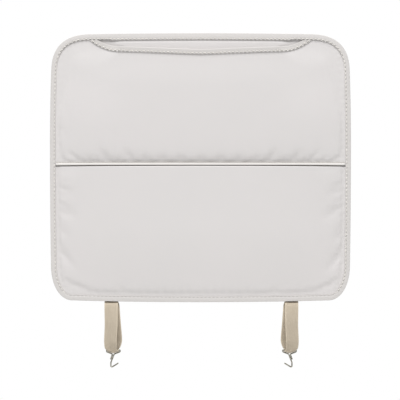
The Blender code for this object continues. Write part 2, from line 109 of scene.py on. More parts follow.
def add_object(name: str, data: bpy.types.ID) -> bpy.types.Object:
    """Put a new object with that data into the scene."""
    made = bpy.data.objects.new(name, data)
    bpy.context.scene.collection.objects.link(made)
    return made


def arc_lengths(points: Array) -> Array:
    """Return how far along the line each of its points lies."""
    steps = np.linalg.norm(np.diff(points, axis=0), axis=1)
    return np.concatenate([[0.0], np.cumsum(steps)])


def evenly(points: Array, count: int, closed: bool = False) -> Array:
    """Spread points evenly along a line.

    Args:
        points: The line's points, one a row.
        count: How many points the result has.
        closed: True when the line's last point joins its first.

    Returns:
        The new points. A closed line's first point isn't repeated.
    """
    line = np.vstack([points, points[:1]]) if closed else points
    lengths = arc_lengths(line)
    places = np.linspace(0.0, lengths[-1], count, endpoint=not closed)
    return np.column_stack([np.interp(places, lengths, line[:, axis]) for axis in range(line.shape[1])])


def cubic_weights(places: Array, count: int) -> Array:
    """Return the weights that read a smooth curve through count even samples at places from 0 to 1."""
    spots = np.clip(places, 0.0, 1.0) * (count - 1)
    first = np.clip(np.floor(spots).astype(int), 0, count - 2)
    t = spots - first
    weights = np.zeros((len(places), count))
    kernel = (
        -0.5 * t ** 3 + t ** 2 - 0.5 * t,
        1.5 * t ** 3 - 2.5 * t ** 2 + 1.0,
        -1.5 * t ** 3 + 2.0 * t ** 2 + 0.5 * t,
        0.5 * t ** 3 - 0.5 * t ** 2,
    )
    for shift, share in zip((-1, 0, 1, 2), kernel):
        index = np.clip(first + shift, 0, count - 1)
        np.add.at(weights, (np.arange(len(places)), index), share)
    return weights


@dataclass(frozen=True)
class MatLayout:
    """The mat's sizes.

    The outline and the upper mouth's line are the CAD solids'. The pockets' depths, the middle band's width
    and the lower mouth's height are set a little apart from theirs, to match the photograph.
    """

    width: float = 0.4494
    height: float = 0.4021
    top_corner: tuple[float, float, float] = (0.0610, 0.0570, 2.8)
    bottom_corner: tuple[float, float, float] = (0.0310, 0.0510, 2.1)
    upper_side_bow: float = 0.0060
    lower_side_bow: float = 0.0018
    top_bow: float = 0.0030
    bottom_bow: float = 0.0036
    widest_height: float = 0.035
    lip_width: float = 0.0090
    layer_inset: float = 0.0017
    pressed_margin: float = 0.0004
    edge_roll: float = 0.0080
    corner_roll: float = 0.0450
    corner_flat: float = 0.65
    corner_from: tuple[float, float] = (0.090, 0.060)
    corner_run: tuple[float, float] = (0.080, 0.090)
    upper_side_run: float = 0.0260
    lower_side_run: float = 0.0280
    upper_rise: float = 0.1500
    lower_rise: float = 0.1050
    seam_rises: tuple[tuple[float, float], ...] = ((0.27, 0.0022), (0.34, 0.0140))
    seam_height: float = 0.0035
    band_width: float = 0.0056
    panel_thickness: float = 0.0022
    panel_pressed: float = 0.0012
    upper_gap: float = 0.0031
    lower_gap: float = 0.0058
    lower_mouth: float = 0.0012
    lower_crown: float = 0.0012
    mouth_drop: float = 0.0328
    mouth_dip: float = 0.0055
    mouth_straight_half: float = 0.1247
    mouth_end_rise: float = 0.0170
    mouth_end_run: float = 0.0455
    strip_width: float = 0.0080
    binding_back: float = -0.00295
    binding_front: float = -0.00895
    binding_thickness: float = 0.0009
    base_back: float = -0.00525
    base_front: float = -0.00625
    panel_back: float = -0.00655
    seam_gap: float = 0.0003

    @property
    def half_width(self) -> float:
        """Half of the panel's width."""
        return self.width / 2.0

    @property
    def half_height(self) -> float:
        """Half of the panel's height."""
        return self.height / 2.0

    def corner(self, top: bool, inset: float) -> tuple[float, float, float]:
        """Return the inset reach across, the inset reach up and the power of two of the corners."""
        across, up, power = self.top_corner if top else self.bottom_corner
        return across - inset, up - inset, power

    def bowed(self, x: Array, y: Array, z: Array) -> Array:
        """Bend the straight-sided layout so that its edges bow out.

        Args:
            x: Places across the mat.
            y: Places from the front to the back.
            z: Places up the mat.

        Returns:
            The points, with their three coordinates in the last axis.
        """
        bow = np.where(z > self.widest_height, self.upper_side_bow, self.lower_side_bow)
        side = bow / self.half_width * ((z - self.widest_height) / self.half_height) ** 2
        rise = np.where(z > 0.0, self.top_bow, self.bottom_bow)
        ends = rise / self.half_height * (x / self.half_width) ** 2
        return np.stack([x * (1.0 - side), y + 0.0 * x, z * (1.0 - ends)], axis=-1)

    def edge_height(self, x: Array, inset: float, top: bool) -> Array:
        """Return the height of the top or bottom edge of the inset outline at x."""
        across, up, power = self.corner(top, inset)
        past = np.clip((np.abs(x) - (self.half_width - inset - across)) / across, 0.0, 1.0)
        fall = up * ((1.0 - past ** power) ** (1.0 / power) - 1.0)
        height = self.half_height - inset + fall
        return height if top else -height

    def ring(self, count: int, inset: float = 0.0) -> Array:
        """Return count even points on the inset, unbowed outline, counter-clockwise from the front."""
        angles = np.linspace(0.0, pi / 2.0, 120)
        quarters = []
        for top, right in ((False, True), (True, True), (True, False), (False, False)):
            reach, rise, power = self.corner(top, inset)
            across = self.half_width - inset + reach * (np.cos(angles).clip(0.0) ** (2.0 / power) - 1.0)
            up = self.half_height - inset + rise * (np.sin(angles).clip(0.0) ** (2.0 / power) - 1.0)
            quarter = np.column_stack([across if right else -across, up if top else -up])
            quarters.append(quarter if top == right else quarter[::-1])
        return evenly(np.vstack(quarters), count, closed=True)

    def mouth_height(self, x: Array, up: float) -> Array:
        """Return the height of the upper mouth's line that lies up above its strip's lower edge."""
        along = np.abs(x)
        rounding = self.strip_width
        dip = self.mouth_dip * (np.hypot(along, rounding) - rounding) / self.mouth_straight_half
        past = np.maximum(along - self.mouth_straight_half, 0.0) / self.mouth_end_run
        end_slope = 2.0 * self.mouth_end_rise * past / self.mouth_end_run
        slope = self.mouth_dip / self.mouth_straight_half + end_slope
        base = self.half_height - self.mouth_drop + dip + self.mouth_end_rise * past * past
        return base + up * np.hypot(1.0, slope)

    def mouth_end(self, up: float, inset: float) -> float:
        """Return the x at which that line of the mouth meets the outline inset by inset."""
        low, high = self.mouth_straight_half, self.half_width - inset
        for _ in range(40):
            middle = (low + high) / 2.0
            if self.mouth_height(middle, up) < self.edge_height(middle, inset, True):
                low = middle
            else:
                high = middle
        return low

    @property
    def panel_edge_up(self) -> float:
        """How far the upper panel's own edge lies above the strip's lower edge."""
        return self.strip_width - 2.0 * self.binding_thickness

    @property
    def bare_half(self) -> float:
        """Half of the stretch of the top edge where only the base is bound."""
        return self.mouth_end(self.panel_edge_up, self.layer_inset) - 3.5 * self.lip_width

    def edge_front(self, x: Array, z: Array) -> Array:
        """Return where the binding's front face lies along the outline."""
        bare = ease(self.bare_half - np.abs(x), 2.0 * self.lip_width) * (z > self.half_height / 2.0)
        return self.binding_front + (self.panel_pressed + self.seam_gap) * bare

    def sewn_distance(self, pocket: Pocket, x: Array, z: Array) -> tuple[Array, Array]:
        """Measure how far points lie from the sewn part of the outline.

        Args:
            pocket: The panel whose seams count.
            x: Places across the mat.
            z: Places up the mat.

        Returns:
            The distances, and how far along the outline the nearest points lie.
        """
        ring = self.ring(560)
        ends = np.roll(ring, -1, axis=0)
        length = np.linalg.norm(ends - ring, axis=1)
        start_along = np.concatenate([[0.0], np.cumsum(length)[:-1]])
        middle = (ring + ends) / 2.0
        margin = 0.020
        if pocket is Pocket.UPPER:
            top = middle[:, 1] > self.half_height - self.top_corner[1]
            bare = top & (np.abs(middle[:, 0]) < self.bare_half)
            kept = (middle[:, 1] > self.seam_height - margin) & ~bare
        else:
            kept = middle[:, 1] < self.lower_mouth + margin
        start, run, size, along = ring[kept], (ends - ring)[kept], length[kept], start_along[kept]
        spots = np.column_stack([x.ravel(), z.ravel()])
        distance = np.empty(len(spots))
        place = np.empty(len(spots))
        for first in range(0, len(spots), 4000):
            part = spots[first:first + 4000, None, :]
            share = np.clip(((part - start) * run).sum(axis=2) / size ** 2, 0.0, 1.0)
            gap = np.linalg.norm(part - (start + run * share[..., None]), axis=2)
            best = gap.argmin(axis=1)
            rows = np.arange(len(best))
            distance[first:first + 4000] = gap[rows, best]
            place[first:first + 4000] = along[best] + size[best] * share[rows, best]
        return distance.reshape(x.shape), place.reshape(x.shape)

    def lift(self, pocket: Pocket, x: Array, z: Array, distance: Array) -> Array:
        """Return how far a pocket panel stands away from the base, from 0 at its seams to 1."""
        upper = pocket is Pocket.UPPER
        lip = self.lip_width + self.pressed_margin
        inside = np.maximum(self.half_width - lip - np.abs(x), 0.0)
        edge = 1.0 - np.exp(-inside / (self.upper_side_run if upper else self.lower_side_run))
        if upper:
            high = ease(z - self.corner_from[1], self.corner_run[1])
            high = high * ease(np.abs(x) - self.corner_from[0], self.corner_run[0])
            edge = edge * ease(distance - lip, self.edge_roll + (self.corner_roll - self.edge_roll) * high)
            edge = edge * (1.0 - self.corner_flat * high)
            past = np.maximum(z - self.seam_height - self.band_width, 0.0)
            quick = sum(share * (1.0 - np.exp(-past / run)) for share, run in self.seam_rises)
            rest = 1.0 - sum(share for share, _ in self.seam_rises)
            return edge * (quick + rest * slow_rise(past, self.upper_rise))
        edge = edge * ease(distance - lip, self.edge_roll)
        return edge * slow_rise(z + self.half_height - lip, self.lower_rise)

    def upper_face(self, x: Array, z: Array) -> Array:
        """Return where the front face of the upper pocket panel lies."""
        distance, _ = self.sewn_distance(Pocket.UPPER, x, z)
        lift = self.lift(Pocket.UPPER, x, z, distance)
        thickness = self.panel_pressed + (self.panel_thickness - self.panel_pressed) * lift
        return self.panel_back - self.upper_gap * lift - thickness


LAYOUT = MatLayout()


class Graph:
    """Wires the nodes of one material or Geometry Nodes tree."""

    def __init__(self, tree: bpy.types.NodeTree) -> None:
        """Start on an empty tree."""
        self.tree = tree
        self.column = 0

    def node(self, kind: str, inputs: dict | None = None, **settings: object) -> bpy.types.Node:
        """Add a node.

        Args:
            kind: The node's type in Blender.
            inputs: What goes into its inputs, by name or number: another node's output, or a plain value.
            **settings: The node's own settings.

        Returns:
            The new node.
        """
        node = self.tree.nodes.new(kind)
        node.location = (self.column * 180.0, 0.0)
        self.column += 1
        for name, value in settings.items():
            setattr(node, name, value)
        for key, value in (inputs or {}).items():
            if isinstance(value, bpy.types.NodeSocket):
                self.tree.links.new(value, node.inputs[key])
            else:
                node.inputs[key].default_value = value
        return node

    def sum(self, kind: str, *values: object) -> bpy.types.NodeSocket:
        """Add a Math node of that kind and return its result."""
        return self.node("ShaderNodeMath", dict(enumerate(values)), operation=kind).outputs[0]

    def spread(self, value: object, low: float, high: float, to_low: float,
               to_high: float) -> bpy.types.NodeSocket:
        """Map a value from one range to another, clamped."""
        inputs = {"Value": value, "From Min": low, "From Max": high, "To Min": to_low, "To Max": to_high}
        return self.node("ShaderNodeMapRange", inputs).outputs["Result"]

    def stretched(self, place: object, *scale: float) -> bpy.types.NodeSocket:
        """Scale a place by another amount along each axis."""
        return self.node("ShaderNodeMapping", {"Vector": place, "Scale": scale}).outputs[0]

    def noise(self, place: object, scale: float, detail: float = 2.0,
              rough: float = 0.5) -> bpy.types.NodeSocket:
        """Add a noise texture and return its value."""
        inputs = {"Vector": place, "Scale": scale, "Detail": detail, "Roughness": rough}
        return self.node("ShaderNodeTexNoise", inputs).outputs["Fac"]

    def blend(self, share: object, first: Colour, second: Colour) -> bpy.types.NodeSocket:
        """Mix two colours by share."""
        mix = self.node("ShaderNodeMix", {"Factor": share}, data_type="RGBA")
        mix.inputs[6].default_value = (*first, 1.0)
        mix.inputs[7].default_value = (*second, 1.0)
        return mix.outputs[2]

    def tint(self, share: object, base: object, second: Colour) -> bpy.types.NodeSocket:
        """Mix a colour output with a plain colour by share."""
        mix = self.node("ShaderNodeMix", {"Factor": share}, data_type="RGBA")
        self.tree.links.new(base, mix.inputs[6])
        mix.inputs[7].default_value = (*second, 1.0)
        return mix.outputs[2]

    def bump(self, height: object, distance: float) -> bpy.types.NodeSocket:
        """Turn a height into a normal."""
        return self.node("ShaderNodeBump", {"Height": height, "Distance": distance}).outputs["Normal"]

    def coat(self, shader: bpy.types.Node, colour: object, roughness: object, normal: object) -> None:
        """Wire a shader's colour, roughness and normal."""
        for name, value in (("Base Color", colour), ("Roughness", roughness), ("Normal", normal)):
            self.tree.links.new(value, shader.inputs[name])


class Finish:
    """A finish that makes its material once, the first time a piece asks for it."""

    name: str
    made: dict[str, bpy.types.Material] = {}

    def wire(self, graph: Graph, shader: bpy.types.Node) -> None:
        """Wire the finish's nodes to the shader."""
        raise NotImplementedError

    def material(self) -> bpy.types.Material:
        """Return the finish's material."""
        if self.name not in Finish.made:
            material = bpy.data.materials.new(self.name)
            material.use_nodes = True
            tree = material.node_tree
            tree.nodes.clear()
            graph = Graph(tree)
            shader = graph.node("ShaderNodeBsdfPrincipled")
            self.wire(graph, shader)
            graph.node("ShaderNodeOutputMaterial", {"Surface": shader.outputs[0]})
            Finish.made[self.name] = material
        return Finish.made[self.name]

    def dress(self, piece: bpy.types.Object) -> None:
        """Give a piece this finish, in place of any other."""
        piece.data.materials.clear()
        piece.data.materials.append(self.material())


@dataclass(frozen=True)
class LeatherFinish(Finish):
    """Coated leather: shallow grain cells, fine pores, a slow drift of its colour, and painted shade where a
    piece's mesh attribute asks for it.
    """

    name: str
    colour: Colour
    shade: Colour
    # The dark colour of the painted shade.
    crease: Colour = (0.240, 0.215, 0.190)
    roughness: float = 0.46
    grain: float = 0.0011
    depth: float = 0.00005

    def wire(self, graph: Graph, shader: bpy.types.Node) -> None:
        """Wire the leather's nodes."""
        place = graph.node("ShaderNodeTexCoord").outputs["Object"]
        warp = graph.node("ShaderNodeTexNoise", {"Vector": place, "Scale": 420.0, "Detail": 1.0})
        bent = graph.node("ShaderNodeVectorMath", {0: warp.outputs["Color"], 1: (0.0009, 0.0009, 0.0009)},
                          operation="MULTIPLY")
        moved = graph.node("ShaderNodeVectorMath", {0: place, 1: bent.outputs[0]},
                           operation="ADD").outputs[0]
        cells = graph.node("ShaderNodeTexVoronoi", {"Vector": moved, "Scale": 1.0 / self.grain},
                           feature="DISTANCE_TO_EDGE").outputs["Distance"]
        plateau = graph.spread(cells, 0.0, 0.22, 0.0, 1.0)
        pores = graph.noise(place, 3200.0, 2.0, 0.6)
        drift = graph.noise(place, 7.0, 3.0, 0.55)
        height = graph.sum("ADD", plateau, graph.sum("MULTIPLY", pores, 0.5))
        share = graph.spread(drift, 0.3, 0.7, 0.0, 0.55)
        colour = graph.blend(share, self.colour, self.shade)
        valley = graph.tint(graph.spread(plateau, 0.0, 0.7, 0.30, 0.0), colour, self.shade)
        # Painted shade: the mesh attribute read here darkens the colour towards the painted shade's dark
        # colour.
        crease = graph.node("ShaderNodeAttribute", attribute_name="crease").outputs["Fac"]
        shaded_colour = graph.tint(graph.spread(crease, 0.45, 1.3, 0.0, 1.0), valley, self.crease)
        gloss = graph.sum("ADD", graph.spread(drift, 0.3, 0.7, -0.03, 0.03),
                          graph.spread(plateau, 0.0, 1.0, self.roughness + 0.10, self.roughness))
        graph.coat(shader, shaded_colour, gloss, graph.bump(height, self.depth))
        shader.inputs["Specular IOR Level"].default_value = 0.38
        shader.inputs["Sheen Weight"].default_value = 0.06
        shader.inputs["Sheen Roughness"].default_value = 0.5


@dataclass(frozen=True)
class WovenFinish(Finish):
    """Plain woven cloth, with its threads along X and Z."""

    name: str
    colour: Colour
    shade: Colour
    pitch: float = 0.0011
    depth: float = 0.00012

    def wire(self, graph: Graph, shader: bpy.types.Node) -> None:
        """Wire the cloth's nodes."""
        place = graph.node("ShaderNodeTexCoord").outputs["Object"]
        axes = graph.node("ShaderNodeSeparateXYZ", {0: place})
        turn = 2.0 * pi / self.pitch
        across = graph.sum("SINE", graph.sum("MULTIPLY", axes.outputs["X"], turn))
        up = graph.sum("SINE", graph.sum("MULTIPLY", axes.outputs["Z"], turn))
        weave = graph.sum("MULTIPLY", across, up)
        fuzz = graph.noise(place, 2600.0, 3.0, 0.6)
        slub = graph.noise(graph.stretched(place, 1.0, 1.0, 26.0), 36.0)
        height = graph.sum("ADD", weave, graph.sum("MULTIPLY", fuzz, 0.9))
        share = graph.sum("ADD", graph.spread(weave, -1.0, 1.0, 0.55, 0.0),
                          graph.spread(slub, 0.35, 0.7, 0.0, 0.4))
        graph.coat(shader, graph.blend(share, self.colour, self.shade),
                   graph.spread(fuzz, 0.2, 0.8, 0.78, 0.95), graph.bump(height, self.depth))
        shader.inputs["Specular IOR Level"].default_value = 0.2
        shader.inputs["Sheen Weight"].default_value = 0.25


@dataclass(frozen=True)
class ElasticFinish(Finish):
    """Ribbed elastic webbing. Its map runs across the band from 0 to 1 and along it in bands' widths."""

    name: str
    colour: Colour
    shade: Colour
    selvedge: Colour
    ribs: float = 15.0
    picks: float = 34.0
    depth: float = 0.00010

    def wire(self, graph: Graph, shader: bpy.types.Node) -> None:
        """Wire the elastic's nodes."""
        place = graph.node("ShaderNodeTexCoord").outputs["Object"]
        chart = graph.node("ShaderNodeUVMap", uv_map="UVMap").outputs[0]
        axes = graph.node("ShaderNodeSeparateXYZ", {0: chart})
        across, along = axes.outputs["X"], axes.outputs["Y"]
        rib = graph.sum("COSINE", graph.sum("MULTIPLY", across, 2.0 * pi * self.ribs))
        pick = graph.sum("COSINE", graph.sum("MULTIPLY", along, 2.0 * pi * self.picks))
        weave = graph.sum("MULTIPLY", rib, pick)
        edge = graph.sum("ABSOLUTE", graph.sum("SUBTRACT", across, 0.5))
        rim = graph.spread(edge, 0.425, 0.455, 0.0, 1.0)
        fuzz = graph.noise(place, 2400.0, 3.0, 0.65)
        streak = graph.noise(graph.stretched(chart, 1.0, 0.04, 1.0), 30.0)
        share = graph.sum("ADD", graph.spread(weave, -1.0, 1.0, 0.40, 0.05),
                          graph.spread(streak, 0.3, 0.7, 0.0, 0.45))
        body = graph.blend(share, self.colour, self.shade)
        colour = graph.tint(graph.sum("MULTIPLY", rim, 0.8), body, self.selvedge)
        height = graph.sum("ADD", graph.sum("MULTIPLY", weave, 0.7), graph.sum("ADD", rib, fuzz))
        graph.coat(shader, colour, graph.spread(fuzz, 0.2, 0.8, 0.72, 0.92), graph.bump(height, self.depth))
        shader.inputs["Specular IOR Level"].default_value = 0.22
        shader.inputs["Sheen Weight"].default_value = 0.2


@dataclass(frozen=True)
class ThreadFinish(Finish):
    """Twisted sewing thread. Its map runs round the thread and along it from 0 to 1."""

    name: str
    colour: Colour
    shade: Colour
    plies: float = 3.0
    turns: float = 5.0
    depth: float = 0.00008

    def wire(self, graph: Graph, shader: bpy.types.Node) -> None:
        """Wire the thread's nodes."""
        place = graph.node("ShaderNodeTexCoord").outputs["Object"]
        chart = graph.node("ShaderNodeUVMap", uv_map="UVMap").outputs[0]
        axes = graph.node("ShaderNodeSeparateXYZ", {0: chart})
        slant = graph.sum("ADD", graph.sum("MULTIPLY", axes.outputs["X"], 2.0 * pi * self.plies),
                          graph.sum("MULTIPLY", axes.outputs["Y"], 2.0 * pi * self.turns))
        ply = graph.sum("COSINE", slant)
        fuzz = graph.noise(place, 6000.0, 2.0, 0.6)
        share = graph.sum("ADD", graph.spread(ply, -1.0, 0.4, 0.6, 0.0),
                          graph.spread(fuzz, 0.3, 0.7, 0.0, 0.15))
        graph.coat(shader, graph.blend(share, self.colour, self.shade),
                   graph.spread(fuzz, 0.2, 0.8, 0.45, 0.62),
                   graph.bump(graph.sum("ADD", ply, fuzz), self.depth))
        shader.inputs["Sheen Weight"].default_value = 0.15


@dataclass(frozen=True)
class PlatedFinish(Finish):
    """Nickel-plated wire, drawn lengthwise, a little duller in places. Its colour is set dark, and darker
    still in hazy patches, as painted reflection.
    """

    name: str
    colour: Colour
    shade: Colour
    roughness: float = 0.20
    depth: float = 0.00001

    def wire(self, graph: Graph, shader: bpy.types.Node) -> None:
        """Wire the plating's nodes."""
        place = graph.node("ShaderNodeTexCoord").outputs["Object"]
        haze = graph.noise(place, 260.0, 3.0, 0.6)
        drawn = graph.noise(graph.stretched(place, 1.0, 1.0, 0.06), 5200.0)
        # Painted reflection: the haze blends the colour towards the darker shade in patches, for the dark
        # reflections on the wire.
        share = graph.spread(haze, 0.35, 0.65, 0.0, 1.0)
        gloss = graph.sum("ADD", graph.spread(haze, 0.3, 0.7, self.roughness - 0.05, self.roughness + 0.10),
                          graph.spread(drawn, 0.3, 0.7, 0.0, 0.05))
        graph.coat(shader, graph.blend(share, self.colour, self.shade), gloss,
                   graph.bump(drawn, self.depth))
        shader.inputs["Metallic"].default_value = 1.0


@dataclass(frozen=True)
class FoamFinish(Finish):
    """Open-cell foam, seen only where the mat is cut open."""

    name: str
    colour: Colour
    shade: Colour
    depth: float = 0.00020

    def wire(self, graph: Graph, shader: bpy.types.Node) -> None:
        """Wire the foam's nodes."""
        place = graph.node("ShaderNodeTexCoord").outputs["Object"]
        cells = graph.node("ShaderNodeTexVoronoi", {"Vector": place, "Scale": 1400.0}).outputs["Distance"]
        share = graph.spread(cells, 0.1, 0.6, 1.0, 0.0)
        graph.coat(shader, graph.blend(share, self.colour, self.shade),
                   graph.spread(cells, 0.0, 1.0, 0.97, 0.85), graph.bump(cells, self.depth))


PANEL_LEATHER = LeatherFinish("panel_leather", (0.735, 0.706, 0.700), (0.700, 0.682, 0.672))
# The binding is one leather on the real mat; its three tones are fitted to the photograph's brightness. The
# edge binding's and the mouth strip's darker tones are painted shade, and the middle band's lighter tone is a
# painted highlight.
SHADED_BINDING_LEATHER =LeatherFinish("binding_leather", (0.690, 0.664, 0.648), (0.650, 0.629, 0.612),
                                roughness=0.42, grain=0.0009, depth=0.00004)
SHADED_STRIP_LEATHER = replace(SHADED_BINDING_LEATHER, name="strip_leather", colour=(0.650, 0.625, 0.608),
                        shade=(0.618, 0.596, 0.578))
LIT_BAND_LEATHER = replace(SHADED_BINDING_LEATHER, name="band_leather", colour=(0.790, 0.764, 0.738),
                       shade=(0.750, 0.728, 0.700))
LINING_CLOTH = WovenFinish("lining_cloth", (0.560, 0.540, 0.505), (0.400, 0.385, 0.355))
ELASTIC = ElasticFinish("elastic_webbing", (0.615, 0.535, 0.425), (0.500, 0.425, 0.325),
                        (0.700, 0.610, 0.480))
THREAD = ThreadFinish("sewing_thread", (0.930, 0.905, 0.860), (0.740, 0.700, 0.640))
# Dark colours that stand in for the wire's dark reflections: painted reflection.
PLATED = PlatedFinish("plated_wire", (0.360, 0.345, 0.290), (0.150, 0.140, 0.110))
FOAM = FoamFinish("foam_core", (0.800, 0.780, 0.700), (0.580, 0.550, 0.470))


def shell(name: str, sections: Array, closed: bool = False, chart: Array | None = None,
          crease: Array | None = None) -> bpy.types.Object:
    """Make a closed shell from a row of cross-sections.

    Args:
        name: The object's name.
        sections: The loops, as columns by points by coordinates.
        closed: True when the last loop joins the first.
        chart: The map's coordinates for each point, with the first point's again at each loop's end.
        crease: How much painted shade each point gets, from 0 to 1.

    Returns:
        The object, smooth and with its faces outwards.
    """
    columns, points = sections.shape[:2]
    index = np.arange(columns * points).reshape(columns, points)
    here = index if closed else index[:-1]
    ahead = np.roll(index, -1, axis=0) if closed else index[1:]
    quads = np.stack([here, ahead, np.roll(ahead, -1, axis=1), np.roll(here, -1, axis=1)], axis=-1)
    faces = quads.reshape(-1, 4).tolist()
    mesh = bpy.data.meshes.new(name)
    walls = len(faces)
    if not closed:
        for loop in (index[0], index[-1]):
            last = points - 1
            for step in range(points // 2 - 1):
                faces.append([loop[step], loop[step + 1], loop[last - step - 1], loop[last - step]])
    mesh.from_pydata(sections.reshape(-1, 3).tolist(), [], faces)
    if chart is not None:
        layer = mesh.uv_layers.new(name="UVMap")
        first = chart[: len(here)]
        after = np.roll(chart, -1, axis=0) if closed else chart[1:]
        corners = np.stack([first[:, :-1], after[:, :-1], after[:, 1:], first[:, 1:]], axis=2).reshape(-1, 2)
        flat = np.zeros((len(mesh.loops), 2))
        flat[: walls * 4] = corners
        layer.data.foreach_set("uv", flat.ravel())
    # The painted shade goes into a mesh attribute that the leather finish reads.
    if crease is not None:
        mesh.attributes.new("crease", "FLOAT", "POINT").data.foreach_set("value", crease.ravel())
    work = bmesh.new()
    work.from_mesh(mesh)
    bmesh.ops.recalc_face_normals(work, faces=work.faces)
    work.to_mesh(mesh)
    work.free()
    mesh.shade_smooth()
    return add_object(name, mesh)


def place_piece(piece: bpy.types.Object, finish: Finish, slot: str, *nodes: str) -> bpy.types.Object:
    """Dress a piece, put it on the mat's body and let it stand for its CAD nodes.

    Args:
        piece: The finished piece.
        finish: What it is made of.
        slot: The record's material slot; not used.
        *nodes: The CAD nodes that it replaces.

    Returns:
        The piece.
    """
    finish.dress(piece)
    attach(piece, BODY)
    if nodes:
        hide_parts(*nodes)
    log.info("%s: %d faces in %s", piece.name, len(piece.data.polygons), finish.name)
    return piece


def tube(name: str, path: Array, radius: float, sides: int = 14) -> bpy.types.Object:
    """Make a round wire with domed ends along a path."""
    tangents = np.gradient(path, axis=0)
    tangents /= np.linalg.norm(tangents, axis=1)[:, None]
    across = np.cross(tangents[0], (0.31, 0.52, 0.79))
    angles = np.arange(sides) / sides * 2.0 * pi
    sections = []
    domes = [(-1.0, 0.12), (-0.94, 0.34), (-0.77, 0.64), (-0.45, 0.89)]

    def dome(spot: Array, axis: Array, loop: Array) -> list[Array]:
        """Return the loops of a domed end, from its tip inwards along axis."""
        return [spot + axis * shift * radius + loop * share * radius for shift, share in domes]

    for number, (spot, tangent) in enumerate(zip(path, tangents)):
        across = across - tangent * across.dot(tangent)
        across /= np.linalg.norm(across)
        other = np.cross(tangent, across)
        loop = np.outer(np.cos(angles), across) + np.outer(np.sin(angles), other)
        if number == 0:
            sections.extend(dome(spot, tangent, loop))
        sections.append(spot + loop * radius)
        if number == len(path) - 1:
            sections.extend(dome(spot, -tangent, loop)[::-1])
    return shell(name, np.array(sections))


def settled(points: Array, held: Array, pressure: float, spare: float, frames: int = 16) -> Array:
    """Let a sheet of cloth settle under pressure from behind.

    Args:
        points: The sheet's grid of points.
        held: True where the sheet is sewn down.
        pressure: The push towards the front.
        spare: The share by which the cloth is cut larger than its frame.
        frames: How many steps the simulation takes.

    Returns:
        The grid of points once the cloth has settled.
    """
    columns, rows = points.shape[:2]
    index = np.arange(columns * rows).reshape(columns, rows)
    corners = [index[:-1, :-1], index[1:, :-1], index[1:, 1:], index[:-1, 1:]]
    quads = np.stack(corners, axis=-1).reshape(-1, 4)
    mesh = bpy.data.meshes.new("cloth")
    mesh.from_pydata(points.reshape(-1, 3).tolist(), [], quads.tolist())
    cloth = add_object("cloth", mesh)
    cloth.vertex_groups.new(name="held").add(index[held].tolist(), 1.0, "REPLACE")
    modifier = cloth.modifiers.new("settle", "CLOTH")
    settings = modifier.settings
    settings.quality = 6
    settings.mass = 0.4
    settings.tension_stiffness = 30.0
    settings.compression_stiffness = 30.0
    settings.shear_stiffness = 12.0
    settings.bending_stiffness = 8.0
    settings.vertex_group_mass = "held"
    settings.use_pressure = True
    settings.uniform_pressure_force = pressure
    settings.shrink_min = -spare
    settings.effector_weights.gravity = 0.0
    modifier.collision_settings.use_collision = False
    modifier.point_cache.frame_start = 1
    modifier.point_cache.frame_end = frames
    scene = bpy.context.scene
    for number in range(1, frames + 1):
        scene.frame_set(number)
    result = cloth.evaluated_get(bpy.context.evaluated_depsgraph_get()).data
    flat = np.empty(len(result.vertices) * 3)
    result.vertices.foreach_get("co", flat)
    bpy.data.objects.remove(cloth, do_unlink=True)
    scene.frame_set(1)
    return flat.reshape(points.shape)


